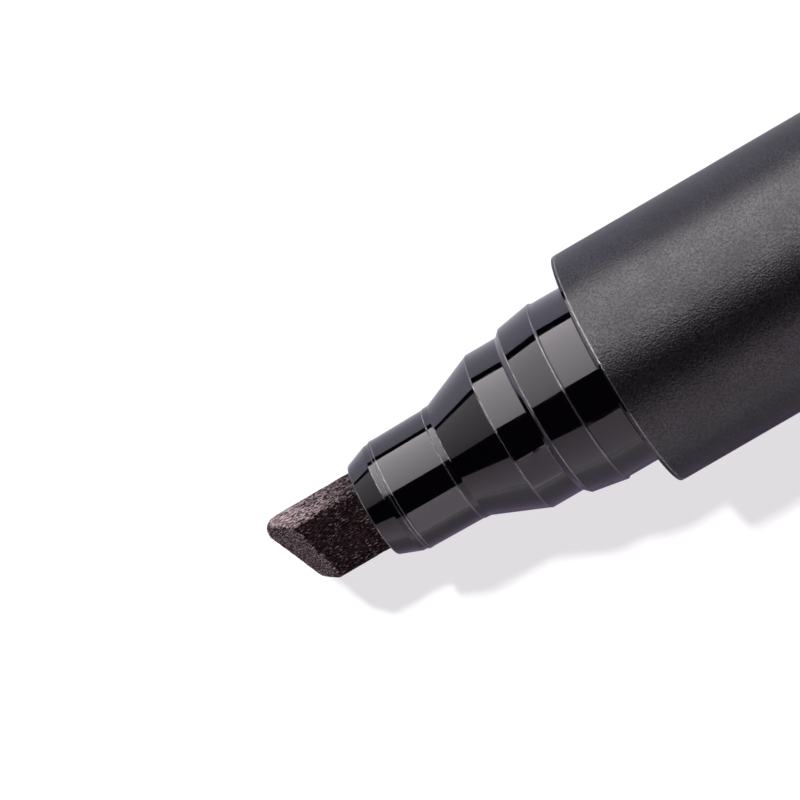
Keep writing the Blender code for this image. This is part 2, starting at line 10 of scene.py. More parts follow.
import bmesh
import bpy
from mathutils import Matrix, Vector, noise


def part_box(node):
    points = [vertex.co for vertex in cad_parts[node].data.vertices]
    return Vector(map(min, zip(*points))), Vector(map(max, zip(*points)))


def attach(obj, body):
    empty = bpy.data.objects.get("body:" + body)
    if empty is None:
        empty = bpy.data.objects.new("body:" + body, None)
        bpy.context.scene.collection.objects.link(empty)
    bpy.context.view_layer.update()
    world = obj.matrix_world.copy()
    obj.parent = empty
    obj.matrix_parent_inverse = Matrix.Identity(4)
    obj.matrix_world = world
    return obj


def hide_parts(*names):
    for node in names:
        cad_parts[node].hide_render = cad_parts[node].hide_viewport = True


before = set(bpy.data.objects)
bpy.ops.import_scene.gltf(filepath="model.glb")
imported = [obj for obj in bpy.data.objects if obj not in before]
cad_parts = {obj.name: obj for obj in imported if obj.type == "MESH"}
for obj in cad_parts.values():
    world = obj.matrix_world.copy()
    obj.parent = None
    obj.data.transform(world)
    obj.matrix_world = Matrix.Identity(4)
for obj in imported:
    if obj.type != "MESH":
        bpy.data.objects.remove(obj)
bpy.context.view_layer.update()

MM = 0.001

# Places that come from the frame
BARREL_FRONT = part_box("barrel")[0].x
BARREL_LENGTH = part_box("barrel")[1].x - BARREL_FRONT
CAP_RIM_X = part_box("cap_shell")[0].x - BARREL_FRONT
CAP_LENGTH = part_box("cap_shell")[1].x - BARREL_FRONT - CAP_RIM_X
PLUG_END_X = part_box("end_plug")[1].x - BARREL_FRONT

# How the marker and its cap lie
AXIS_HEIGHT = 8.0 * MM
LYING_TURN = math.radians(-56.25)
CAP_TURN = math.radians(135.865)  # the clip lies in the corner between the cap and the ground

# Gaps between pieces
SLOT_GAP = 0.15 * MM  # nib in its slot
PRESS_GAP = 0.15 * MM  # plug's skirt in the barrel
SEAT_GAP = 0.15 * MM  # plug's flange on the barrel
SLIDE_GAP = 0.20 * MM  # cap on the spigot

# Barrel
BARREL_RADIUS = 7.995 * MM
BARREL_RIM_FILLET = 0.30 * MM
RIM_FRONT = -0.15 * MM
RIM_LEAD = 0.22 * MM  # the smooth lead-in before the grain starts
RIM_LEAD_DROP = 0.018 * MM
RIM_LINE_REACH = 0.055 * MM  # reach of the painted highlight line on either side of the grain's start
MOUTH_RADIUS = 6.29 * MM
MOUTH_LENGTH = 12.0 * MM
BORE_RADIUS = 6.70 * MM

# Nib holder, from the nib backwards
LIP_X = -17.76 * MM
LIP_RADIUS = 3.15 * MM
LIP_FILLET = 0.18 * MM
LAND_FRONT_X = -16.28 * MM
LAND_RADIUS = 3.735 * MM
SNOUT_FRONT_X = -15.88 * MM
SNOUT_FRONT_RADIUS = 3.815 * MM
SNOUT_REAR_X = -11.93 * MM
SNOUT_REAR_RADIUS = 3.862 * MM
CONE_FRONT_X = -11.50 * MM
CONE_FRONT_RADIUS = 3.930 * MM
WAIST_FRONT_X = -7.92 * MM
WAIST_RADIUS = 5.435 * MM
WAIST_REAR_X = -5.71 * MM
COLLAR_FRONT_X = -5.29 * MM
COLLAR_FRONT_RADIUS = 5.84 * MM
RIDGE_X = -2.95 * MM
RIDGE_RADIUS = 6.24 * MM
NECK_FRONT_X = -2.82 * MM
NECK_RADIUS = 6.14 * MM
RELIEF_X = -0.45 * MM  # the groove that sets the neck off from the barrel
RELIEF_RADIUS = 5.60 * MM
HOLDER_TAIL = 16.0 * MM
TAIL_RADIUS = 5.35 * MM
CHAMBER_RADIUS = 4.2 * MM
CHAMBER_X = -6.0 * MM
EDGE_FILLET = 0.06 * MM
WITNESS_HEIGHT = 0.04 * MM  # of the fine steps that the mould leaves between two stretches
WITNESS_WIDTH = 0.05 * MM
BEAD_WIDTH = 0.20 * MM  # of the fine bead at the snout's front
SLOT_OVERCUT = 1.0 * MM
GROOVE_WIDTH = 0.8 * MM
GROOVE_DEPTH = 0.45 * MM

# Painted highlights: pale lines painted along the moulded edges as the light they catch. The near,
# # dark, lit and far zones round the marker, in degrees from straight up, with a fade between one and the
# # next, and how strongly the painted highlight shows in each
ZONE_ANGLES = (-180, -25, -19, 2, 8, 40, 50, 180)
EDGE_SHARES = (0.5, 0.1, 1.0, 0.5)
SNOUT_SHARES = (0.55, 0.12, 0.7, 0.5)
LIP_SHARES = (0.9, 0.3, 0.6, 0.6)
LAND_SHARES = (0.0, 0.0, 0.5, 0.0)
EDGE_LINE_REACH = 0.05 * MM  # reach of the painted highlight line on either side of a moulded edge

# Chisel nib
NIB_WIDTH = 5.0 * MM
NIB_THICKNESS = 2.5 * MM
NIB_EDGE_FILLET = 0.35 * MM
NIB_TIP_X = -24.15 * MM
NIB_NOSE_LENGTH = 1.5 * MM
NIB_NOSE_DROP = 1.0 * MM
NIB_HEEL_RADIUS = 0.5 * MM
NIB_SLANT_ANGLE = math.radians(19)
NIB_EDGE_X = -23.51 * MM
NIB_EDGE_DROP = 0.73 * MM
NIB_EDGE_OFFSET = 0.50 * MM
NIB_FRONT_ANGLE = math.radians(46)
NIB_FRONT_SLANT = math.radians(8)
NIB_BACK_ANGLE = math.radians(63)
NIB_BACK_SLANT = math.radians(26)
NIB_LAND_DEPTH = 0.08 * MM
NIB_TAIL = 8.0 * MM
NIB_LIFT = 0.12 * MM  # of the nib in its slot, across its width
NIB_SOFTNESS = 0.10 * MM  # rounding of the ground edges

# Mesh of the nib
NIB_STEP = 0.07 * MM
NIB_FINE_REAR = LIP_X + 1.5 * MM  # behind which the mesh is coarse, inside the slot
NIB_TAIL_RINGS = 8
NIB_CAP_RINGS = 40
NIB_CORNER_CUTS = 18
NIB_CURVE_SAMPLES = 160
NIB_SMOOTHING = 5  # passes that wear the ground edges round
NIB_SMOOTHNESS = 0.5

# Fibres of the nib: heights in mm, and waves per mm along the axis and across it
FIBRE_PROUD = 0.045  # by which the fibres swell beyond the bar's nominal size
FIBRE_RELIEF = 0.022
LUMP_RELIEF = 0.016
PIT_RELIEF = 0.12
PIT_LEVEL = 0.32  # of the noise, over which a pit starts
PIT_SHIFT = 40.0  # that keeps the pits apart from the strands
STRAND_WAVES = (1.6, 6.5)
FINE_STRAND_WAVES = (3.5, 14.0)
FINE_STRAND_SHARE = 0.5
STIPPLE_WAVES = (9.0, 9.0)
LUMP_WAVES = (1.1, 1.1)
PIT_WAVES = (2.2, 6.0)
STIPPLE_GAIN = 1.4  # how soon the strands give way to stipple where the surface turns to the end

# Paleness of the nib: rubbed fibre, and painted light on the narrow side that faces the lamps
SIDE_START = 0.68  # of the normal's part across the nib, over which the narrow side facing the lamps is painted paler
SIDE_GAIN = 4.5
# the narrow side's paleness grows from the holder's lip towards the tip
SIDE_AT_LIP = 0.20
SIDE_TOWARDS_TIP = 0.92
END_START = 0.35  # of the normal's part along the axis, over which the end is painted paler
END_GAIN = 1.8
BEVEL_PALENESS = 0.40
BEVEL_FADE = 0.09 * MM  # depth below the front bevel over which its pale look ends
FADE_NOISE = 0.5
FADE_WAVES = 4.0  # per mm

# End plug
PLUG_DEPTH = 8.0 * MM
PLUG_SKIRT_WALL = 1.1 * MM
PLUG_FLANGE = 1.2 * MM
SPIGOT_NECK_LENGTH = 2.62 * MM
SPIGOT_RIDGE_RISE = 0.29 * MM
SPIGOT_END_RADIUS = 5.70 * MM
SPIGOT_END_FILLET = 0.8 * MM
SPIGOT_BORE_RADIUS = 4.3 * MM
SPIGOT_WALL = 1.4 * MM

# Cap, from its rim
CAP_SHOULDER = 26.86 * MM
CAP_END_FILLET = 1.2 * MM
CAP_END_WALL = 1.6 * MM
CAP_LEAD_IN = 0.4 * MM
CAP_CORE_RADIUS = 5.0 * MM

# Clip on the cap
CLIP_FLAT = 7.2 * MM  # from the axis to the flat under the clip
FLAT_FRONT = 6.0 * MM
FLAT_HALF_WIDTH = 2.3 * MM
FLAT_OVERLAP = 0.5 * MM
CLIP_CUT_TOP = 9.0 * MM
CLIP_END_SETBACK = 1.4 * MM
CLIP_BASE_LENGTH = 6.0 * MM
CLIP_BASE_ROOT = 1.2 * MM
CLIP_HEIGHT = 2.19 * MM
CLIP_GAP = 0.8 * MM
CLIP_TIP_X = 8.0 * MM
CLIP_BEAD_LENGTH = 2.2 * MM
CLIP_BEAD_GAP = 0.15 * MM
CLIP_FILLET = 0.5 * MM
CLIP_HALF_WIDTH = 1.8 * MM
CLIP_ROUNDING = 0.22 * MM
CLIP_ROUNDING_STEPS = 4

# Seal cup, from the cap's rim
CUP_MOUTH_X = 12.68 * MM
CUP_BOTTOM_X = 25.61 * MM
CUP_LIP_RADIUS = 4.07 * MM
CUP_LIP_LENGTH = 0.8 * MM
CUP_LIP_RAMP = 0.25 * MM
CUP_LIP_FILLET = 0.12 * MM
CUP_BORE_RADIUS = 4.32 * MM
CUP_WALL = 0.8 * MM
CUP_RIM_FILLET = 0.25 * MM
CUP_FLANGE = 1.1 * MM
CUP_FLANGE_RADIUS = 6.29 * MM

# Facets
SEGMENTS = 192
FILLET_STEPS = 6
FILLET_REACH = 0.45  # share of an edge that one corner's fillet may take
SUPPORT = 0.055 * MM  # from a corner to the point that keeps the shading beyond it straight
SUPPORTED_LENGTH = 3 * SUPPORT  # shorter stretches get no such points
WELD = 0.0005 * MM
SHARP_ANGLE = math.radians(32)

# Grain of the materials: cells per metre, heights, and stretches along the axis and across it
PEBBLES = 7000
PEBBLE_HEIGHT = 0.030 * MM
PATCHES = 420
WAVES = 420
WAVE_HEIGHT = 0.007 * MM
SCUFFS = 1500
SCUFF_STRETCH = (1.0, 0.5, 0.5)
DUST = 6500
STRANDS = 11000
STRAND_HEIGHT = 0.06 * MM
STRAND_STRETCH = (0.38, 1.0, 1.0)
FLECKS = 11500
FLECK_STRETCH = (0.36, 1.0, 1.0)
BLOTCHES = 1500
BLOTCH_STRETCH = (0.6, 1.0, 1.0)
MOTTLING = 300
MOULD_GRAIN = 5000
MOULD_GRAIN_HEIGHT = 0.006 * MM
CORE_STRANDS = 4000
CORE_STRETCH = (0.08, 1.0, 1.0)

# Levels of a grain between which it acts, and what it does
MOST_OF_RANGE = (0.3, 0.7)  # between which most of a noise's values lie
PEBBLE_LEVELS = (0.38, 0.62)
SHEEN_LEVELS = (0.36, 0.64)
LEAST_SHEEN = 0.42  # of the charcoal's specular level, in the grain's hollows
PATCH_SHEEN = (0.60, 0.86)  # the same on its raised parts, from patch to patch
DUST_LEVELS = (0.68, 0.80)
DUST_SHARE = 0.3
WAVES_END = 0.3  # of the painted highlight's share, at which the waves have gone
SCUFF_LEVELS = (0.45, 0.75)
PATCHY_SHARE = 0.1
FLECKY_SHARE = 0.35
PALE_LEVELS = (0.14, 1.0)
PALEST_LEVELS = (0.7, 1.1)
PALEST_LIGHTNESS = 0.28  # of the hollows between strands where the nib is palest
STRAND_LEVELS = (0.455, 0.585)
BLOTCH_LEVELS = (0.40, 0.62)
BLOTCH_SHARE = 0.7
# painted glints: bright specks painted on the nib's fibres
GLINT_LEVELS = (0.615, 0.68)
GLINT_BLOTCH_LEVELS = (0.42, 0.60)
GLINT_SHARES = (0.15, 1.0)
FELT_LEVELS = (0.4, 0.7)

# Gloss of the materials; a pair is a range
CHARCOAL_ROUGHNESS = (0.285, 0.08)  # on the grain and on the smooth lead-in
CHARCOAL_IOR = 1.64
GLOSS_ROUGHNESS = (0.045, 0.14)
GLOSS_IOR = 1.50
COAT_ROUGHNESS = 0.03
FELT_ROUGHNESS = (0.75, 0.55)
FELT_SPECULAR = 0.08
NATURAL_ROUGHNESS = 0.42
FILM_ROUGHNESS = 0.25
MOULD_SPREAD = 0.05
CORE_ROUGHNESS = 0.95

# Colours of the materials
CHARCOAL_DEEP = (0.0012, 0.0010, 0.0014)
CHARCOAL_RAISED = (0.0060, 0.0050, 0.0066)
CHARCOAL_POLISHED = (0.002, 0.0016, 0.0022)
# pale colour of the highlight lines painted along the barrel's edge
CHARCOAL_PAINTED_HIGHLIGHT = (0.42, 0.405, 0.42)
GLOSS_CLEAN = (0.0010, 0.0006, 0.0012)
GLOSS_DUSTY = (0.015, 0.014, 0.016)
# pale colour of the highlight lines painted along the holder's moulded edges
GLOSS_PAINTED_HIGHLIGHT = (0.38, 0.365, 0.385)
INK_DEEP = (0.0003, 0.0001, 0.0002)
INK_RAISED = (0.031, 0.0145, 0.0175)
INK_BLOTCH = (0.0022, 0.0012, 0.0015)
# colour of the glints painted on the nib's fibres
INK_GLINT = (0.21, 0.140, 0.130)
# pale colours of the nib where the fibre is rubbed, which on the narrow side facing the lamps also stand
# in for light
PALE_DEEP = (0.008, 0.0050, 0.0058)
PALE_RAISED = (0.575, 0.441, 0.477)
CORE_DEEP = (0.008, 0.007, 0.010)
CORE_RAISED = (0.040, 0.036, 0.044)
NATURAL_COLOURS = ((0.62, 0.62, 0.60), (0.74, 0.74, 0.72))
FILM_COLOURS = ((0.66, 0.67, 0.69), (0.78, 0.79, 0.81))
BLACK = (0.0, 0.0, 0.0)
WHITE = (1.0, 1.0, 1.0)

# Camera: where the photograph shows the barrel's front, its scale, and how the marker lies in it
IMAGE_SIZE = 800
PIXELS_PER_METRE = 16190
BARREL_FRONT_PIXEL = (619.3, 367.3)
CAMERA_LEAN = math.radians(8)
AXIS_RISE = math.radians(30.2)
LENS = 600.0
SENSOR = 36.0
NEAREST_VIEW = 0.01

# Lamps along the marker: angles in degrees from straight up, towards +Y, and shares of the key's
# radiance at the lower and the upper angle
KEY_RADIANCE = 3.4
LAMP_DISTANCE = 0.6
CONE_MIDDLE = BARREL_FRONT - 9.7 * MM
KEY_ANGLES = (11.4, 84.5)
CARD_ANGLES = (11.4, 87.0)
FILL_ANGLES = (-91.0, -38.2)
FAR_FILL_ANGLES = (-91.0, -41.2)
KEY_SHARES = (0.5, 1.0)
KEY_TAIL_SHARES = (0.32, 0.6)
SIDE_CARD_SHARES = (0.09, 0.20)
NEAR_FILL_SHARES = (0.26, 0.34)
END_FILL_SHARES = (0.20, 0.12)
FAR_FILL_SHARES = (0.175, 0.15)
KEY_REAR = 0.80
KEY_FRONT = CONE_MIDDLE - 0.19
KEY_TAIL_FRONT = CONE_MIDDLE - 0.41
SIDE_CARD_FRONT = KEY_TAIL_FRONT - 0.85
FAR_FILL_REAR = 1.0
NEAR_FILL_REAR = CONE_MIDDLE - 0.085
NEAR_FILL_FRONT = NEAR_FILL_REAR - 0.05
END_FILL_FRONT = NEAR_FILL_FRONT - 0.85
KEY_COLOUR = (1.0, 0.945, 1.0)
FILL_COLOUR = (0.99, 0.87, 1.0)

# Small lamp that draws the shadow
SUN_DIRECTION = (-0.12, 0.5, 1.0)
SUN_DISTANCE = 1.0
SUN_SIZE = 0.07
SUN_LEVEL = 1.17
SUN_COLOUR = (1.0, 0.985, 1.0)

# Floor and room. What gloss shows of the floor is a painted reflection: darker and tinted, with painted
# shade close to the marker and black far off on the key's side
FLOOR_SIZE = 4.0
FLOOR_WHITE = (0.90, 0.90, 0.90)
FLOOR_GLOW = 0.63  # share of the floor's look that is its own white
FLOOR_TO_CAMERA = (1.13, 1.10, 1.14)
FLOOR_NEAR = (0.120, 0.0885, 0.152)  # colour of the floor in gloss, on the shadow side
FLOOR_FAR = (0.085, 0.055, 0.43)  # the same on the key's side
FLOOR_FAR_CLOSE = (0.085, 0.075, 0.20)  # the same there, close to the marker
FLOOR_SEAM = 4.0 * MM  # half the width over which one side's look turns into the other's
FLOOR_DIMMED = 0.41  # share of that colour in what gloss shows of the floor
FLOOR_NEAR_DIMMED = 0.92  # the same close to the marker on the shadow side
FLOOR_NEAR_REACH = (-0.11, -0.014)  # Y between which that share rises
FLOOR_FAR_DIMMED = 0.56  # the same close to the marker on the key's side
FLOOR_FAR_REACH = (0.010, 0.04)  # Y between which that share and the close colour fade
FLOOR_EDGE = 0.13  # beyond which gloss shows the floor black, on the key's side
FLOOR_EDGE_BLUR = 2.0 * MM
ROOM_LOW = (-4.0, -4.0, -0.5)
ROOM_HIGH = (4.0, 4.0, 1.5)
ROOM_BLACK = (0.004, 0.004, 0.004)


def fillet(before, corner, after, radius):
    """Points of the arc that rounds a corner between two straight edges."""
    to_before = before - corner
    to_after = after - corner
    half_angle = to_before.angle(to_after) / 2
    setback = radius / math.tan(half_angle)
    setback = min(setback, FILLET_REACH * to_before.length, FILLET_REACH * to_after.length)
    radius = setback * math.tan(half_angle)
    start = corner + to_before.normalized() * setback
    end = corner + to_after.normalized() * setback
    middle = (to_before.normalized() + to_after.normalized()).normalized()
    centre = corner + middle * (radius / math.sin(half_angle))
    turn = (start - centre).angle_signed(end - centre)
    points = []
    for step in range(FILLET_STEPS + 1):
        spoke = start - centre
        spoke.rotate(Matrix.Rotation(-turn * step / FILLET_STEPS, 2))
        points.append(centre + spoke)
    return points


def outline(corners, closed=True):
    """Points of an outline whose corners are (a, b) or (a, b, fillet radius), with support points
    that keep the straight stretches' shading straight."""
    flat = [Vector(corner[:2]) for corner in corners]
    stretches = []
    for index, corner in enumerate(corners):
        is_end = index in (0, len(corners) - 1) and not closed
        if len(corner) < 3 or is_end:
            stretches.append([flat[index]])
            continue
        after = flat[(index + 1) % len(flat)]
        stretches.append(fillet(flat[index - 1], flat[index], after, corner[2]))
    points = []
    for index, stretch in enumerate(stretches):
        points.extend(stretch)
        if index == len(stretches) - 1 and not closed:
            break
        following = stretches[(index + 1) % len(stretches)][0]
        gap = following - stretch[-1]
        if gap.length > SUPPORTED_LENGTH:
            step = gap.normalized() * SUPPORT
            points.extend([stretch[-1] + step, following - step])
    return points


def turned(corners, is_ring):
    """A profile of (x, radius) corners turned about the axis: a ring, or a body that meets the axis."""
    shape = bmesh.new()
    points = outline(corners, closed=is_ring)
    verts = [shape.verts.new((x, 0, radius)) for x, radius in points]
    edges = [shape.edges.new(pair) for pair in zip(verts, verts[1:])]
    if is_ring:
        edges.append(shape.edges.new((verts[-1], verts[0])))
    bmesh.ops.spin(
        shape,
        geom=verts + edges,
        cent=(0, 0, 0),
        axis=(1, 0, 0),
        angle=2 * math.pi,
        steps=SEGMENTS,
        use_merge=True,
    )
    return shape


def extruded(points, start, end, place):
    """A flat outline extruded from start to end; place puts (a, b, depth) into x, y, z."""
    shape = bmesh.new()
    face = shape.faces.new([shape.verts.new(place(a, b, start)) for a, b in points])
    grown = bmesh.ops.extrude_face_region(shape, geom=[face])
    moved = [item for item in grown["geom"] if isinstance(item, bmesh.types.BMVert)]
    step = Vector(place(0, 0, end)) - Vector(place(0, 0, start))
    bmesh.ops.translate(shape, verts=moved, vec=step)
    return shape


def along_axis(y, z, depth):
    return (depth, y, z)


def across_axis(x, z, depth):
    return (x, depth, z)


def rectangle(width, height, radius):
    """Corners of a rounded rectangle that is centred on the axis."""
    signs = ((-1, -1), (1, -1), (1, 1), (-1, 1))
    return [(a * width / 2, b * height / 2, radius) for a, b in signs]


def block(low, high):
    shape = bmesh.new()
    size = Vector(high) - Vector(low)
    centre = (Vector(high) + Vector(low)) / 2
    place = Matrix.Translation(centre) @ Matrix.Diagonal((*size, 1.0))
    bmesh.ops.create_cube(shape, size=1.0, matrix=place)
    return shape


def to_mesh(name, shape):
    """Mesh of a shape whose points are welded and whose faces look outwards."""
    bmesh.ops.remove_doubles(shape, verts=shape.verts, dist=WELD)
    bmesh.ops.recalc_face_normals(shape, faces=shape.faces)
    mesh = bpy.data.meshes.new(name)
    shape.to_mesh(mesh)
    shape.free()
    return mesh


def combine(mesh, shape, operation):
    """Mesh of a Boolean between a mesh and another shape."""
    piece = bpy.data.objects.new("combined", mesh)
    tool = bpy.data.objects.new("tool", to_mesh("tool", shape))
    for item in (piece, tool):
        bpy.context.scene.collection.objects.link(item)
    modifier = piece.modifiers.new("combine", "BOOLEAN")
    modifier.operation = operation
    modifier.object = tool
    modifier.solver = "EXACT"
    depsgraph = bpy.context.evaluated_depsgraph_get()
    result = bpy.data.meshes.new_from_object(piece.evaluated_get(depsgraph))
    for item in (piece, tool):
        bpy.data.objects.remove(item)
    return result


def lying(turn, x=0.0):
    """Place on the marker's axis, turned about it."""
    spot = Matrix.Translation((BARREL_FRONT + x, 0, AXIS_HEIGHT))
    return spot @ Matrix.Rotation(turn, 4, "X")


def add_piece(name, mesh, place, material, body, node):
    """Puts a mesh in its place, with its material, in the stead of its solid."""
    mesh.transform(place)
    mesh.shade_smooth()
    mesh.set_sharp_from_angle(angle=SHARP_ANGLE)
    mesh.materials.clear()
    mesh.materials.append(material)
    piece = bpy.data.objects.new(name, mesh)
    bpy.context.scene.collection.objects.link(piece)
    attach(piece, body)
    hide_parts(node)


def painted_highlight_share(angle, shares):
    """How strongly an edge's painted highlight shows at an angle round the marker from straight up, in
    degrees.
    """
    at_angles = [share for share in shares for _ in range(2)]
    stops = list(zip(ZONE_ANGLES, at_angles))
    for (near, low), (far, high) in zip(stops, stops[1:]):
        if angle <= far:
            return low + (high - low) * (angle - near) / (far - near)
    return shares[-1]


def paint_highlight_lines(mesh, stations, reach, least_radius):
    """Stores how much painted highlight each point gets: most at some stations along the axis, fading on
    both sides. Each station comes with its shares round the marker."""
    wear_and_painted_light = mesh.attributes.new("wear_and_painted_light", "FLOAT", "POINT")
    for index, vertex in enumerate(mesh.vertices):
        x, y, z = vertex.co
        if math.hypot(y, z) < least_radius:
            continue
        angle = math.degrees(math.remainder(math.atan2(y, z) - LYING_TURN, 2 * math.pi))
        for station, shares in stations:
            fading = 1 - abs(x - station) / reach
            if fading > 0:
                pale_share = fading * painted_highlight_share(angle, shares)
                wear_and_painted_light.data[index].value = max(wear_and_painted_light.data[index].value, pale_share)


def barrel_mesh():
    """Tube with a smooth lead-in at its front, a narrow mouth and a rounded rear rim."""
    grain_start = RIM_FRONT + RIM_LEAD
    profile = [
        (RIM_FRONT, MOUTH_RADIUS, EDGE_FILLET),
        (RIM_FRONT, BARREL_RADIUS - RIM_LEAD_DROP, EDGE_FILLET / 2),
        (grain_start - RIM_LINE_REACH, BARREL_RADIUS - RIM_LEAD_DROP / 4),
        (grain_start, BARREL_RADIUS),
        (grain_start + RIM_LINE_REACH, BARREL_RADIUS),
        (BARREL_LENGTH, BARREL_RADIUS, BARREL_RIM_FILLET),
        (BARREL_LENGTH, BORE_RADIUS),
        (MOUTH_LENGTH, BORE_RADIUS),
        (MOUTH_LENGTH, MOUTH_RADIUS),
    ]
    mesh = to_mesh("barrel_shell", turned(profile, is_ring=True))
    # a pale line painted as a highlight where the grain starts, strongest in the lit zone
    paint_highlight_lines(mesh, [(grain_start, EDGE_SHARES)], RIM_LINE_REACH, BARREL_RADIUS - RIM_LEAD_DROP)
    polished = mesh.attributes.new("polished", "FLOAT", "POINT")
    for index, vertex in enumerate(mesh.vertices):
        polished.data[index].value = 1.0 if vertex.co.x < grain_start - RIM_LINE_REACH / 2 else 0.0
    return mesh


def holder_mesh():
    """Stepped front section, with the fine witness steps of its mould and the slot for the nib."""
    bead_end = SNOUT_FRONT_X + BEAD_WIDTH
    profile = [
        (LIP_X, 0),
        (LIP_X, LIP_RADIUS, LIP_FILLET),
        (LAND_FRONT_X, LAND_RADIUS - WITNESS_HEIGHT / 2, EDGE_FILLET),
        (SNOUT_FRONT_X - WITNESS_WIDTH, LAND_RADIUS),
        (SNOUT_FRONT_X, SNOUT_FRONT_RADIUS, EDGE_FILLET / 2),
        (bead_end, SNOUT_FRONT_RADIUS + WITNESS_HEIGHT / 4, EDGE_FILLET / 2),
        (bead_end + WITNESS_WIDTH, SNOUT_FRONT_RADIUS - WITNESS_HEIGHT / 4),
        (SNOUT_REAR_X - WITNESS_WIDTH, SNOUT_REAR_RADIUS),
        (SNOUT_REAR_X, SNOUT_REAR_RADIUS + WITNESS_HEIGHT, EDGE_FILLET / 2),
        (CONE_FRONT_X, CONE_FRONT_RADIUS),
        (WAIST_FRONT_X - WITNESS_WIDTH, WAIST_RADIUS - WITNESS_HEIGHT),
        (WAIST_FRONT_X, WAIST_RADIUS, EDGE_FILLET / 2),
        (WAIST_REAR_X, WAIST_RADIUS, EDGE_FILLET),
        (COLLAR_FRONT_X, COLLAR_FRONT_RADIUS, EDGE_FILLET),
        (RIDGE_X, RIDGE_RADIUS, EDGE_FILLET),
        (NECK_FRONT_X, NECK_RADIUS, EDGE_FILLET),
        (RELIEF_X, NECK_RADIUS, EDGE_FILLET / 2),
        (RELIEF_X, RELIEF_RADIUS),
        (0, RELIEF_RADIUS),
        (0, NECK_RADIUS),
        (HOLDER_TAIL, NECK_RADIUS),
        (HOLDER_TAIL, TAIL_RADIUS),
        (0, TAIL_RADIUS),
        (0, CHAMBER_RADIUS),
        (CHAMBER_X, CHAMBER_RADIUS),
        (CHAMBER_X, 0),
    ]
    mesh = to_mesh("holder_body", turned(profile, is_ring=False))
    start = LIP_X - SLOT_OVERCUT
    end = CHAMBER_X + SLOT_OVERCUT
    thickness = NIB_THICKNESS + 2 * SLOT_GAP
    slot = rectangle(thickness, NIB_WIDTH + 2 * SLOT_GAP, NIB_EDGE_FILLET + SLOT_GAP)
    mesh = combine(mesh, extruded(outline(slot), start, end, along_axis), "DIFFERENCE")
    reach = thickness / 2 + GROOVE_DEPTH
    grooves = block((start, -reach, -GROOVE_WIDTH / 2), (end, reach, GROOVE_WIDTH / 2))
    mesh = combine(mesh, grooves, "DIFFERENCE")
    front_step = SNOUT_FRONT_X - WITNESS_WIDTH / 2
    rear_step = SNOUT_REAR_X - WITNESS_WIDTH / 2
    waist_step = WAIST_FRONT_X - WITNESS_WIDTH / 2
    # pale lines painted as highlights along the moulded edges, strongest in the lit zone round the marker
    edges = [(x, SNOUT_SHARES) for x in (front_step, bead_end, rear_step)]
    edges += [(x, EDGE_SHARES) for x in (waist_step, COLLAR_FRONT_X, RIDGE_X)]
    edges += [(x, LIP_SHARES) for x in (LIP_X, LIP_X + EDGE_LINE_REACH)]
    edges += [(x, LAND_SHARES) for x in (LAND_FRONT_X, CONE_FRONT_X)]
    paint_highlight_lines(mesh, edges, EDGE_LINE_REACH, LIP_RADIUS - LIP_FILLET / 2)
    return mesh


def slanted(angle):
    """Direction out of the nib's end, tipped down by an angle."""
    return Vector((-math.cos(angle), 0, -math.sin(angle)))


def corner_planes(centre, first_normal, last_normal, length, drop):
    """Planes that touch one ellipse and so round a corner."""
    planes = []
    for cut in range(1, NIB_CORNER_CUTS + 1):
        normal = first_normal.slerp(last_normal, cut / NIB_CORNER_CUTS)
        reach = math.hypot(length * normal.x, drop * normal.z)
        planes.append((centre + normal * reach, normal))
    return planes


def nib_planes():
    """Planes that the nib's end is ground to: the rounded nose and heel, then the bevels and the edge."""
    up = Vector((0, 0, 1))
    forward = slanted(NIB_SLANT_ANGLE)
    half_width = NIB_WIDTH / 2
    nose = Vector((NIB_TIP_X + NIB_NOSE_LENGTH, 0, half_width - NIB_NOSE_DROP))
    edge = Vector((NIB_EDGE_X, NIB_EDGE_OFFSET, -NIB_EDGE_DROP))
    heel_z = NIB_HEEL_RADIUS - half_width
    heel_x = edge.x + (edge.z - heel_z) * math.tan(NIB_SLANT_ANGLE)
    heel = Vector((heel_x + NIB_HEEL_RADIUS / math.cos(NIB_SLANT_ANGLE), 0, heel_z))
    rounds = corner_planes(nose, up, forward, NIB_NOSE_LENGTH, NIB_NOSE_DROP)
    rounds += corner_planes(heel, -up, forward, NIB_HEEL_RADIUS, NIB_HEEL_RADIUS)
    front = slanted(NIB_FRONT_SLANT) * math.sin(NIB_FRONT_ANGLE)
    front.y = -math.cos(NIB_FRONT_ANGLE)
    back = slanted(NIB_BACK_SLANT) * math.sin(NIB_BACK_ANGLE)
    back.y = math.cos(NIB_BACK_ANGLE)
    crest = (front + back).normalized()
    return rounds, [(edge, front), (edge, back), (edge - crest * NIB_LAND_DEPTH, crest)]


def plane_x(plane, y, z):
    """x of a plane over a point of the nib's section."""
    point, normal = plane
    return point.x - (normal.y * (y - point.y) + normal.z * (z - point.z)) / normal.x


def soft_max(a, b, softness):
    """The larger of two lengths, rounded off where they are nearly the same."""
    overlap = max(softness - abs(a - b), 0) / softness
    return max(a, b) + overlap * overlap * softness / 4


def nib_end(planes, y, z):
    """x at which the nib ends over a point of its section."""
    rounds, bevels = planes
    end = max(plane_x(plane, y, z) for plane in rounds)
    for plane in bevels:
        end = soft_max(end, plane_x(plane, y, z), NIB_SOFTNESS)
    return end


def even_loop(corners, step):
    """Evenly spaced points round an outline of arcs and straight stretches."""
    points = outline(corners)
    loop = []
    for start, end in zip(points, points[1:] + points[:1]):
        count = max(1, round((end - start).length / step))
        loop.extend(start.lerp(end, index / count) for index in range(count))
    return loop


def fibre_noise(spot, waves, shift=0.0):
    """Noise at a spot in mm, with its waves per mm along the axis and across it."""
    along, across = waves
    return noise.noise((along * spot.x, across * spot.y, across * spot.z + shift))


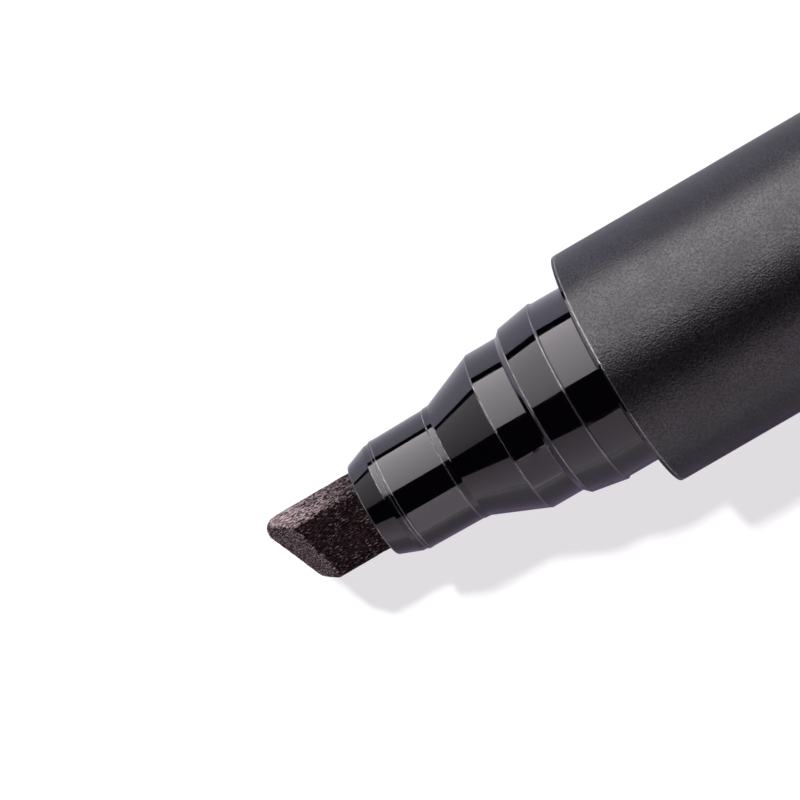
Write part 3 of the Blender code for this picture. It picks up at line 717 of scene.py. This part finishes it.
def fibre_offset(point, normal):
    """Unevenness of the nib's surface: fibres along the axis, pits between them, stippled at the end."""
    spot = point / MM
    strands = fibre_noise(spot, STRAND_WAVES) + FINE_STRAND_SHARE * fibre_noise(spot, FINE_STRAND_WAVES)
    stipple = fibre_noise(spot, STIPPLE_WAVES)
    lumps = fibre_noise(spot, LUMP_WAVES)
    pit = max(0.0, fibre_noise(spot, PIT_WAVES, PIT_SHIFT) - PIT_LEVEL)
    end_share = min(1.0, abs(normal.x) * STIPPLE_GAIN)
    rough = FIBRE_RELIEF * (strands * (1 - end_share) + stipple * end_share)
    return (FIBRE_PROUD + rough + LUMP_RELIEF * lumps - PIT_RELIEF * pit) * MM


def end_curves(planes, loop):
    """Curves from the nib's side over its end to the middle, each with evenly spaced points."""
    steps = range(NIB_CURVE_SAMPLES + 1)
    shares = [1 - (step / NIB_CURVE_SAMPLES) ** 2 for step in steps]
    curves = []
    for y, z in loop:
        spots = [(share * y, share * z) for share in shares]
        curve = [Vector((nib_end(planes, *spot), *spot)) for spot in spots]
        lengths = [0.0]
        for near, far in zip(curve, curve[1:]):
            lengths.append(lengths[-1] + (far - near).length)
        points = []
        index = 0
        for ring in range(NIB_CAP_RINGS):
            wanted = lengths[-1] * ring / NIB_CAP_RINGS
            while lengths[index + 1] < wanted:
                index += 1
            part = (wanted - lengths[index]) / (lengths[index + 1] - lengths[index])
            points.append(curve[index].lerp(curve[index + 1], part))
        curves.append(points)
    return curves


def nib_rings(planes, loop):
    """Rings of points from the nib's tail along its side and over its end, almost to the middle."""
    curves = end_curves(planes, loop)
    rings = []
    for index in range(NIB_TAIL_RINGS):
        x = NIB_TAIL + (NIB_FINE_REAR - NIB_TAIL) * index / NIB_TAIL_RINGS
        rings.append([(x, y, z) for y, z in loop])
    fine_count = round((NIB_FINE_REAR - NIB_TIP_X) / NIB_STEP)
    for index in range(fine_count):
        share = index / fine_count
        stations = [NIB_FINE_REAR + (curve[0].x - NIB_FINE_REAR) * share for curve in curves]
        rings.append([(x, y, z) for x, (y, z) in zip(stations, loop)])
    rings.extend([curve[index] for curve in curves] for index in range(NIB_CAP_RINGS))
    return rings


def nib_mesh():
    """Fibre bar whose side runs back into the slot and whose end is ground to a chisel."""
    planes = nib_planes()
    loop = even_loop(rectangle(NIB_THICKNESS, NIB_WIDTH, NIB_EDGE_FILLET), NIB_STEP)
    shape = bmesh.new()
    made = [[shape.verts.new(point) for point in ring] for ring in nib_rings(planes, loop)]
    for near, far in zip(made, made[1:]):
        for index in range(len(loop)):
            shape.faces.new((near[index - 1], near[index], far[index], far[index - 1]))
    middle = shape.verts.new((nib_end(planes, 0, 0), 0, 0))
    for index in range(len(loop)):
        shape.faces.new((made[-1][index - 1], made[-1][index], middle))
    shape.faces.new(made[0])
    bmesh.ops.recalc_face_normals(shape, faces=shape.faces)
    front = [vert for vert in shape.verts if vert.co.x < NIB_FINE_REAR - NIB_STEP]
    every_axis = {"use_axis_x": True, "use_axis_y": True, "use_axis_z": True}
    for _ in range(NIB_SMOOTHING):
        bmesh.ops.smooth_vert(shape, verts=front, factor=NIB_SMOOTHNESS, **every_axis)
    shape.normal_update()
    offsets = [vert.normal * fibre_offset(vert.co, vert.normal) for vert in front]
    for vert, offset in zip(front, offsets):
        vert.co += offset
    for vert in shape.verts:
        vert.co.z += NIB_LIFT
    mesh = to_mesh("nib_fibre", shape)
    bevel_point, bevel_normal = planes[1][0]
    paint_nib_paleness(mesh, bevel_point, bevel_normal)
    return mesh


def paint_nib_paleness(mesh, bevel_point, bevel_normal):
    """Stores how pale each point of the nib is painted, partly as rubbed fibre and partly as painted
    light:
    most along the narrow side that faces the lamps, less on the end, and unevenly a little beyond the
    front bevel's edge."""
    wear_and_painted_light = mesh.attributes.new("wear_and_painted_light", "FLOAT", "POINT")
    for index, vertex in enumerate(mesh.vertices):
        normal = vertex.normal
        along = (LIP_X - vertex.co.x) / (LIP_X - NIB_TIP_X)
        side = min(1.0, max(0.0, normal.z - SIDE_START) * SIDE_GAIN)
        side *= SIDE_AT_LIP + SIDE_TOWARDS_TIP * along
        end = min(BEVEL_PALENESS, max(0.0, -normal.x - END_START) * END_GAIN)
        depth = (bevel_point - vertex.co).dot(bevel_normal) / BEVEL_FADE
        unevenness = FADE_NOISE * noise.noise(vertex.co / MM * FADE_WAVES)
        fade = BEVEL_PALENESS * max(0.0, min(1.0, 1.0 - depth + unevenness))
        wear_and_painted_light.data[index].value = max(side, end, fade)


def plug_mesh():
    """Rear plug: skirt, flange and the spigot that the posted cap sits on."""
    flange_front = BARREL_LENGTH + SEAT_GAP
    flange_rear = flange_front + PLUG_FLANGE
    neck_end = flange_rear + SPIGOT_NECK_LENGTH
    skirt_front = BARREL_LENGTH - PLUG_DEPTH
    skirt_radius = BORE_RADIUS - PRESS_GAP
    skirt_bore = skirt_radius - PLUG_SKIRT_WALL
    profile = [
        (PLUG_END_X, 0),
        (PLUG_END_X, SPIGOT_END_RADIUS, SPIGOT_END_FILLET),
        (neck_end + SPIGOT_RIDGE_RISE, RIDGE_RADIUS, EDGE_FILLET),
        (neck_end, NECK_RADIUS, EDGE_FILLET),
        (flange_rear, NECK_RADIUS),
        (flange_rear, BARREL_RADIUS, BARREL_RIM_FILLET),
        (flange_front, BARREL_RADIUS, BARREL_RIM_FILLET),
        (flange_front, skirt_radius),
        (skirt_front, skirt_radius, BARREL_RIM_FILLET),
        (skirt_front, skirt_bore),
        (flange_front, skirt_bore),
        (flange_front, SPIGOT_BORE_RADIUS),
        (PLUG_END_X - SPIGOT_WALL, SPIGOT_BORE_RADIUS),
        (PLUG_END_X - SPIGOT_WALL, 0),
    ]
    return to_mesh("plug_body", turned(profile, is_ring=False))


def cap_mesh():
    """Outer cap with a shallow flat and a moulded clip over it."""
    bore = RIDGE_RADIUS + SLIDE_GAP
    profile = [
        (CAP_LENGTH, 0),
        (CAP_LENGTH, BARREL_RADIUS, CAP_END_FILLET),
        (0, BARREL_RADIUS, BARREL_RIM_FILLET),
        (0, bore + CAP_LEAD_IN),
        (CAP_LEAD_IN, bore),
        (CAP_SHOULDER, bore),
        (CAP_SHOULDER, CAP_CORE_RADIUS),
        (CAP_LENGTH - CAP_END_WALL, CAP_CORE_RADIUS),
        (CAP_LENGTH - CAP_END_WALL, 0),
    ]
    mesh = to_mesh("cap_body", turned(profile, is_ring=False))
    base_rear = CAP_LENGTH - CLIP_END_SETBACK
    base_front = base_rear - CLIP_BASE_LENGTH
    low = (FLAT_FRONT, -FLAT_HALF_WIDTH, CLIP_FLAT)
    high = (base_front + FLAT_OVERLAP, FLAT_HALF_WIDTH, CLIP_CUT_TOP)
    mesh = combine(mesh, block(low, high), "DIFFERENCE")
    return combine(mesh, clip_shape(base_rear, base_front), "UNION")


def clip_shape(base_rear, base_front):
    """Clip with a springy arm, a bead at its free end and rounded edges."""
    root = CLIP_FLAT - CLIP_BASE_ROOT
    outer = CLIP_FLAT + CLIP_HEIGHT
    inner = CLIP_FLAT + CLIP_GAP
    corners = [
        (base_rear, root),
        (base_rear, outer, CLIP_FILLET),
        (CLIP_TIP_X, outer, CLIP_FILLET),
        (CLIP_TIP_X, inner, CLIP_FILLET),
        (CLIP_TIP_X + CLIP_BEAD_LENGTH / 2, CLIP_FLAT + CLIP_BEAD_GAP, CLIP_FILLET),
        (CLIP_TIP_X + CLIP_BEAD_LENGTH, inner, CLIP_FILLET),
        (base_front, inner, CLIP_FILLET),
        (base_front, root),
    ]
    shape = extruded(outline(corners), -CLIP_HALF_WIDTH, CLIP_HALF_WIDTH, across_axis)
    shape.normal_update()
    rims = [edge for edge in shape.edges if any(len(face.verts) > 4 for face in edge.link_faces)]
    steps = CLIP_ROUNDING_STEPS
    bmesh.ops.bevel(shape, geom=rims, offset=CLIP_ROUNDING, segments=steps, profile=0.5, affect="EDGES")
    return shape


def cup_mesh():
    """Inner cup that seals on the snout when the marker is capped."""
    flange_end = CUP_BOTTOM_X + CUP_FLANGE
    outside = CUP_BORE_RADIUS + CUP_WALL
    lip_end = CUP_MOUTH_X + CUP_LIP_LENGTH
    profile = [
        (flange_end, 0),
        (flange_end, CUP_FLANGE_RADIUS),
        (CUP_BOTTOM_X, CUP_FLANGE_RADIUS),
        (CUP_BOTTOM_X, outside),
        (CUP_MOUTH_X, outside, CUP_RIM_FILLET),
        (CUP_MOUTH_X, CUP_LIP_RADIUS, CUP_LIP_FILLET),
        (lip_end, CUP_LIP_RADIUS),
        (lip_end + CUP_LIP_RAMP, CUP_BORE_RADIUS),
        (CUP_BOTTOM_X, CUP_BORE_RADIUS),
        (CUP_BOTTOM_X, 0),
    ]
    return to_mesh("cup_body", turned(profile, is_ring=False))


def set_input(tree, socket, value):
    """Links a node's input to a socket, or sets it to a value."""
    if isinstance(value, bpy.types.NodeSocket):
        tree.links.new(value, socket)
    else:
        socket.default_value = value


def add_node(tree, kind, inputs=None, **settings):
    """A new node with its settings, its inputs given as values or as sockets to link."""
    made = tree.nodes.new(kind)
    for key, value in settings.items():
        setattr(made, key, value)
    for key, value in (inputs or {}).items():
        set_input(tree, made.inputs[key], value)
    return made


def connect(tree, shader, **sockets):
    """Links or sets the shader's inputs, whose names have spaces where the keywords have underscores."""
    for key, value in sockets.items():
        set_input(tree, shader.inputs[key.replace("_", " ")], value)


def new_material(name):
    """A material with its node tree, its shader and the piece's own coordinates."""
    material = bpy.data.materials.new(name)
    material.use_nodes = True
    tree = material.node_tree
    shader = tree.nodes["Principled BSDF"]
    coordinates = tree.nodes.new("ShaderNodeTexCoord").outputs["Object"]
    return material, tree, shader, coordinates


def stored(tree, name):
    return add_node(tree, "ShaderNodeAttribute", attribute_name=name).outputs["Fac"]


def grain(tree, coordinates, scale, detail=2.0, roughness=0.5, stretch=None):
    """Noise at a scale in cells per metre, stretched by a scaling of the coordinates."""
    if stretch:
        mapping = add_node(tree, "ShaderNodeMapping", {"Vector": coordinates, "Scale": stretch})
        coordinates = mapping.outputs["Vector"]
    inputs = {"Vector": coordinates, "Scale": scale, "Detail": detail, "Roughness": roughness}
    return add_node(tree, "ShaderNodeTexNoise", inputs).outputs["Fac"]


def remap(tree, value, low, high, to_low, to_high):
    """A value moved from one range to another, and held inside it."""
    inputs = {"Value": value, "From Min": low, "From Max": high, "To Min": to_low, "To Max": to_high}
    return add_node(tree, "ShaderNodeMapRange", inputs).outputs["Result"]


def combined(tree, operation, first, second):
    return add_node(tree, "ShaderNodeMath", {0: first, 1: second}, operation=operation).outputs[0]


def part_of(tree, vector, axis):
    return add_node(tree, "ShaderNodeSeparateXYZ", {0: vector}).outputs[axis]


def blend(tree, factor, first, second):
    """Colour between two colours, each a tuple or a socket."""
    mix = add_node(tree, "ShaderNodeMix", data_type="RGBA")
    for socket, value in ((mix.inputs[6], first), (mix.inputs[7], second)):
        set_input(tree, socket, (*value, 1.0) if isinstance(value, tuple) else value)
    tree.links.new(factor, mix.inputs[0])
    return mix.outputs[2]


def bump(tree, height, distance, strength=1.0):
    inputs = {"Height": height, "Distance": distance, "Strength": strength}
    return add_node(tree, "ShaderNodeBump", inputs).outputs["Normal"]


def textured_black():
    """Spark-eroded charcoal plastic: a fine pebbled grain with slight unevenness, and painted highlight
    lines along its edges.
    """
    material, tree, shader, place = new_material("textured_black")
    fine = grain(tree, place, PEBBLES, detail=2.0, roughness=0.6)
    broad = grain(tree, place, PATCHES, detail=3.0)
    wear_and_painted_light = stored(tree, "wear_and_painted_light")
    polished = stored(tree, "polished")
    raised = remap(tree, fine, *PEBBLE_LEVELS, 0.0, 1.0)
    tone = blend(tree, raised, CHARCOAL_DEEP, CHARCOAL_RAISED)
    tone = blend(tree, polished, tone, CHARCOAL_POLISHED)
    # painted highlight lines along the edges
    tone = blend(tree, wear_and_painted_light, tone, CHARCOAL_PAINTED_HIGHLIGHT)
    relief = bump(tree, fine, PEBBLE_HEIGHT, strength=remap(tree, polished, 0.0, 1.0, 1.0, 0.0))
    rough = remap(tree, polished, 0.0, 1.0, *CHARCOAL_ROUGHNESS)
    most_sheen = remap(tree, broad, *MOST_OF_RANGE, *PATCH_SHEEN)
    sheen = remap(tree, fine, *SHEEN_LEVELS, LEAST_SHEEN, most_sheen)
    connect(tree, shader, Base_Color=tone, Roughness=rough, Normal=relief)
    connect(tree, shader, IOR=CHARCOAL_IOR, Specular_IOR_Level=sheen)
    return material


def gloss_black():
    """Polished moulded plastic with faint waves, a few scuffs, fine dust and painted highlight lines
    along its edges.
    """
    material, tree, shader, place = new_material("gloss_black")
    waves = grain(tree, place, WAVES, detail=2.0)
    scuffs = grain(tree, place, SCUFFS, detail=5.0, roughness=0.7, stretch=SCUFF_STRETCH)
    specks = grain(tree, place, DUST, detail=2.0)
    wear_and_painted_light = stored(tree, "wear_and_painted_light")
    dusty = remap(tree, specks, *DUST_LEVELS, 0.0, DUST_SHARE)
    tone = blend(tree, dusty, GLOSS_CLEAN, GLOSS_DUSTY)
    # painted highlight lines along the moulded edges
    tone = blend(tree, wear_and_painted_light, tone, GLOSS_PAINTED_HIGHLIGHT)
    relief = bump(tree, waves, WAVE_HEIGHT, strength=remap(tree, wear_and_painted_light, 0.0, WAVES_END, 1.0, 0.0))
    rough = remap(tree, scuffs, *SCUFF_LEVELS, *GLOSS_ROUGHNESS)
    connect(tree, shader, Base_Color=tone, Roughness=rough, Normal=relief, IOR=GLOSS_IOR)
    connect(tree, shader, Coat_Weight=1.0, Coat_Roughness=COAT_ROUGHNESS)
    connect(tree, shader, Coat_IOR=GLOSS_IOR, Coat_Normal=relief)
    return material


def inked_felt():
    """Ink-soaked pressed fibre: dark strands along the nib, paler where it is rubbed dry, painted light
    on the narrow side that faces the lamps, and painted glints.
    """
    material, tree, shader, place = new_material("inked_felt")
    strands = grain(tree, place, STRANDS, detail=2.0, roughness=0.6, stretch=STRAND_STRETCH)
    blotches = grain(tree, place, BLOTCHES, detail=3.0, stretch=BLOTCH_STRETCH)
    flecks = grain(tree, place, FLECKS, detail=2.0, stretch=FLECK_STRETCH)
    wear_and_painted_light = stored(tree, "wear_and_painted_light")
    patchy = remap(tree, blotches, *MOST_OF_RANGE, -PATCHY_SHARE, PATCHY_SHARE)
    flecky = remap(tree, flecks, *MOST_OF_RANGE, -FLECKY_SHARE, FLECKY_SHARE)
    ragged = combined(tree, "ADD", combined(tree, "ADD", wear_and_painted_light, patchy), flecky)
    pale_share = remap(tree, ragged, *PALE_LEVELS, 0.0, 1.0)
    least = remap(tree, wear_and_painted_light, *PALEST_LEVELS, 0.0, PALEST_LIGHTNESS)
    lightness = remap(tree, strands, *STRAND_LEVELS, least, 1.0)
    dark = blend(tree, lightness, INK_DEEP, INK_RAISED)
    blotched = remap(tree, blotches, *BLOTCH_LEVELS, 0.0, BLOTCH_SHARE)
    dark = blend(tree, blotched, dark, INK_BLOTCH)
    # paler where the fibre is rubbed, and painted light on the narrow side that faces the lamps
    pale = blend(tree, lightness, PALE_DEEP, PALE_RAISED)
    tone = blend(tree, pale_share, dark, pale)
    # painted glints: bright specks painted on the fibres
    most_glint = remap(tree, blotches, *GLINT_BLOTCH_LEVELS, *GLINT_SHARES)
    glints = remap(tree, flecks, *GLINT_LEVELS, 0.0, most_glint)
    tone = blend(tree, glints, tone, INK_GLINT)
    relief = bump(tree, strands, STRAND_HEIGHT)
    rough = remap(tree, flecks, *FELT_LEVELS, *FELT_ROUGHNESS)
    connect(tree, shader, Base_Color=tone, Roughness=rough, Normal=relief)
    connect(tree, shader, Specular_IOR_Level=FELT_SPECULAR)
    return material


def plain_moulding(name, low, high, roughness):
    """Uncoloured inner moulding with a faint mottling and a fine grain."""
    material, tree, shader, place = new_material(name)
    broad = grain(tree, place, MOTTLING, detail=3.0)
    fine = grain(tree, place, MOULD_GRAIN, detail=2.0)
    tone = blend(tree, remap(tree, broad, *MOST_OF_RANGE, 0.0, 1.0), low, high)
    rough = remap(tree, fine, *MOST_OF_RANGE, roughness - MOULD_SPREAD, roughness + MOULD_SPREAD)
    relief = bump(tree, fine, MOULD_GRAIN_HEIGHT)
    connect(tree, shader, Base_Color=tone, Roughness=rough, Normal=relief)
    return material


def ink_fibre():
    """Fibre of the ink core, matted along the axis."""
    material, tree, shader, place = new_material("ink_fibre")
    strands = grain(tree, place, CORE_STRANDS, detail=4.0, roughness=0.7, stretch=CORE_STRETCH)
    raised = remap(tree, strands, *MOST_OF_RANGE, 0.0, 1.0)
    tone = blend(tree, raised, CORE_DEEP, CORE_RAISED)
    relief = bump(tree, strands, STRAND_HEIGHT)
    connect(tree, shader, Base_Color=tone, Roughness=CORE_ROUGHNESS, Normal=relief)
    return material


def add_pieces():
    """The pieces that show, and the materials of the three inner solids."""
    textured = textured_black()
    glossy = gloss_black()
    felt = inked_felt()
    natural = plain_moulding("natural_plastic", *NATURAL_COLOURS, NATURAL_ROUGHNESS)
    film = plain_moulding("clear_film", *FILM_COLOURS, FILM_ROUGHNESS)
    lie = lying(LYING_TURN)
    cap = lying(CAP_TURN, CAP_RIM_X)
    add_piece("barrel_shell", barrel_mesh(), lie, textured, "marker", "barrel")
    add_piece("holder_body", holder_mesh(), lie, glossy, "marker", "nib_holder")
    add_piece("nib_fibre", nib_mesh(), lie, felt, "marker", "chisel_nib")
    add_piece("plug_body", plug_mesh(), lie, glossy, "marker", "end_plug")
    add_piece("cap_body", cap_mesh(), cap, textured, "cap", "cap_shell")
    add_piece("cup_body", cup_mesh(), cap, natural, "cap", "seal_cup")
    for name, material in (("ink_core", ink_fibre()), ("ink_wrap", film), ("vent_tube", natural)):
        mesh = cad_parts[name].data
        mesh.materials.clear()
        mesh.materials.append(material)


def seen_directly(tree, path):
    """1 for rays from the camera and for those that gloss or glass sends on, else 0."""
    either = path.outputs["Is Camera Ray"]
    for name in ("Is Glossy Ray", "Is Transmission Ray"):
        either = combined(tree, "MAXIMUM", either, path.outputs[name])
    return either


def floor_material():
    """White table to the camera, which keeps the marker's shadow. Gloss shows it as a painted reflection,
    darker and tinted, in one way on the key's side of the marker and in another on the shadow side."""
    material = bpy.data.materials.new("floor_white")
    material.use_nodes = True
    tree = material.node_tree
    tree.nodes.clear()
    path = tree.nodes.new("ShaderNodeLightPath")
    to_camera = path.outputs["Is Camera Ray"]
    y = part_of(tree, tree.nodes.new("ShaderNodeNewGeometry").outputs["Position"], "Y")
    key_side = remap(tree, y, -FLOOR_SEAM, FLOOR_SEAM, 0.0, 1.0)
    edge = (FLOOR_EDGE - FLOOR_EDGE_BLUR, FLOOR_EDGE + FLOOR_EDGE_BLUR)
    far_off = remap(tree, y, *edge, 0.0, 1.0)
    close = remap(tree, y, *FLOOR_FAR_REACH, 1.0, 0.0)
    # painted reflection: the colour that gloss shows of the floor, darker close to the marker and black
    # far off on the key's side
    key_side_tint = blend(tree, close, FLOOR_FAR, FLOOR_FAR_CLOSE)
    tint = blend(tree, key_side, FLOOR_NEAR, key_side_tint)
    tint = blend(tree, far_off, tint, BLACK)
    colour = blend(tree, to_camera, tint, FLOOR_TO_CAMERA)
    shadow_side_share = remap(tree, y, *FLOOR_NEAR_REACH, FLOOR_DIMMED, FLOOR_NEAR_DIMMED)
    key_side_share = remap(tree, y, *FLOOR_FAR_REACH, FLOOR_FAR_DIMMED, FLOOR_DIMMED)
    tint_share = remap(tree, y, -FLOOR_SEAM, FLOOR_SEAM, shadow_side_share, key_side_share)
    tint_share = remap(tree, far_off, 0.0, 1.0, tint_share, 1.0)
    share = remap(tree, seen_directly(tree, path), 0.0, 1.0, 0.0, tint_share)
    share = remap(tree, to_camera, 0.0, 1.0, share, FLOOR_GLOW)
    diffuse = add_node(tree, "ShaderNodeBsdfDiffuse", {"Color": (*FLOOR_WHITE, 1.0)})
    glow = add_node(tree, "ShaderNodeEmission", {"Color": colour})
    inputs = {0: share, 1: diffuse.outputs[0], 2: glow.outputs[0]}
    mixed = add_node(tree, "ShaderNodeMixShader", inputs)
    add_node(tree, "ShaderNodeOutputMaterial", {"Surface": mixed.outputs[0]})
    return material


def add_floor():
    shape = bmesh.new()
    bmesh.ops.create_grid(shape, x_segments=1, y_segments=1, size=FLOOR_SIZE)
    floor = bpy.data.objects.new("floor", to_mesh("floor", shape))
    bpy.context.scene.collection.objects.link(floor)
    floor.data.materials.append(floor_material())


def add_room():
    """Dark studio round the table, which gloss shows and the camera doesn't, and white beyond it."""
    room = bpy.data.objects.new("room", to_mesh("room", block(ROOM_LOW, ROOM_HIGH)))
    bpy.context.scene.collection.objects.link(room)
    room.visible_camera = False
    material, tree, shader, _ = new_material("room_black")
    connect(tree, shader, Base_Color=(*ROOM_BLACK, 1.0), Roughness=1.0, Specular_IOR_Level=0.0)
    room.data.materials.append(material)
    world = bpy.data.worlds.new("studio")
    bpy.context.scene.world = world
    world.use_nodes = True
    sky = world.node_tree
    sky.nodes.clear()
    direct = seen_directly(sky, sky.nodes.new("ShaderNodeLightPath"))
    background = add_node(sky, "ShaderNodeBackground", {"Color": blend(sky, direct, BLACK, WHITE)})
    add_node(sky, "ShaderNodeOutputWorld", {"Surface": background.outputs[0]})


def add_softbox(name, centre, facing, across, size, radiance, colour):
    """Rectangular lamp that faces along a direction, with its width along another. The size is a pair,
    width and height. So is the radiance: at the lower edge in the lamp's own height, and at the upper."""
    width, height = size
    light = bpy.data.lights.new(name, "AREA")
    light.shape = "RECTANGLE"
    light.size = width
    light.size_y = height
    light.color = colour
    light.energy = math.pi * width * height
    light.use_nodes = True
    tree = light.node_tree
    up_share = part_of(tree, tree.nodes.new("ShaderNodeNewGeometry").outputs["Parametric"], "Y")
    strength = remap(tree, up_share, 0.0, 1.0, *radiance)
    tree.links.new(strength, tree.nodes["Emission"].inputs["Strength"])
    lamp = bpy.data.objects.new(name, light)
    bpy.context.scene.collection.objects.link(lamp)
    back = -Vector(facing).normalized()
    side = Vector(across).normalized()
    up = back.cross(side)
    turn = Matrix((side, up, back)).transposed().to_4x4()
    lamp.matrix_world = Matrix.Translation(centre) @ turn
    lamp.visible_camera = False
    return lamp


def add_side_softbox(name, angles, start, end, shares, colour):
    """Lamp along the marker, between two angles from straight up (towards +Y) and two places along X,
    with its share of the key's radiance at either angle."""
    low, high = angles
    middle = math.radians((low + high) / 2)
    half = math.radians((high - low) / 2)
    out = Vector((0, math.sin(middle), math.cos(middle)))
    centre = Vector(((start + end) / 2, 0, AXIS_HEIGHT)) + out * LAMP_DISTANCE
    size = (end - start, 2 * LAMP_DISTANCE * math.tan(half))
    radiance = [KEY_RADIANCE * share for share in shares]
    return add_softbox(name, centre, -out, (1, 0, 0), size, radiance, colour)


def add_lights():
    """A long key softbox above the far side, weaker light on the near side and beyond the nib, and a
    small lamp that draws the shadow."""
    keys = (
        ("key", KEY_ANGLES, KEY_FRONT, KEY_REAR, KEY_SHARES),
        ("key_tail", KEY_ANGLES, KEY_TAIL_FRONT, KEY_FRONT, KEY_TAIL_SHARES),
        ("side_card", CARD_ANGLES, SIDE_CARD_FRONT, KEY_TAIL_FRONT, SIDE_CARD_SHARES),
    )
    for key in keys:
        add_side_softbox(*key, KEY_COLOUR).visible_diffuse = False
    fills = (
        ("near_fill", FILL_ANGLES, NEAR_FILL_FRONT, NEAR_FILL_REAR, NEAR_FILL_SHARES),
        ("end_fill", FILL_ANGLES, END_FILL_FRONT, NEAR_FILL_FRONT, END_FILL_SHARES),
        ("far_fill", FAR_FILL_ANGLES, NEAR_FILL_REAR, FAR_FILL_REAR, FAR_FILL_SHARES),
    )
    for fill in fills:
        add_side_softbox(*fill, FILL_COLOUR)
    toward = Vector(SUN_DIRECTION).normalized()
    centre = Vector((BARREL_FRONT, 0, AXIS_HEIGHT)) + toward * SUN_DISTANCE
    across = toward.cross((0, 0, 1))
    size = (SUN_SIZE, SUN_SIZE)
    radiance = SUN_LEVEL * math.pi * (SUN_DISTANCE / SUN_SIZE) ** 2
    sun = add_softbox("shadow", centre, -toward, across, size, (radiance, radiance), SUN_COLOUR)
    sun.visible_glossy = False


def add_camera():
    """Long lens above, leaning to the rear, turned so that the marker rises to the right."""
    toward_camera = Vector((math.sin(CAMERA_LEAN), 0, math.cos(CAMERA_LEAN)))
    axis = Vector((1, 0, 0))
    along = (axis - toward_camera * axis.dot(toward_camera)).normalized()
    across = toward_camera.cross(along)
    right = along * math.cos(AXIS_RISE) - across * math.sin(AXIS_RISE)
    up = along * math.sin(AXIS_RISE) + across * math.cos(AXIS_RISE)
    column, row = BARREL_FRONT_PIXEL
    middle = IMAGE_SIZE / 2
    target = Vector((BARREL_FRONT, 0, AXIS_HEIGHT))
    target -= right * (column - middle) / PIXELS_PER_METRE
    target -= up * (middle - row) / PIXELS_PER_METRE
    distance = IMAGE_SIZE / PIXELS_PER_METRE * LENS / SENSOR
    data = bpy.data.cameras.new("camera")
    data.lens = LENS
    data.sensor_width = SENSOR
    data.clip_start = NEAREST_VIEW
    camera = bpy.data.objects.new("camera", data)
    bpy.context.scene.collection.objects.link(camera)
    turn = Matrix((right, up, toward_camera)).transposed().to_4x4()
    camera.matrix_world = Matrix.Translation(target + toward_camera * distance) @ turn
    bpy.context.scene.camera = camera


bpy.context.scene.view_settings.view_transform = "Standard"
add_pieces()
add_floor()
add_room()
add_lights()
add_camera()
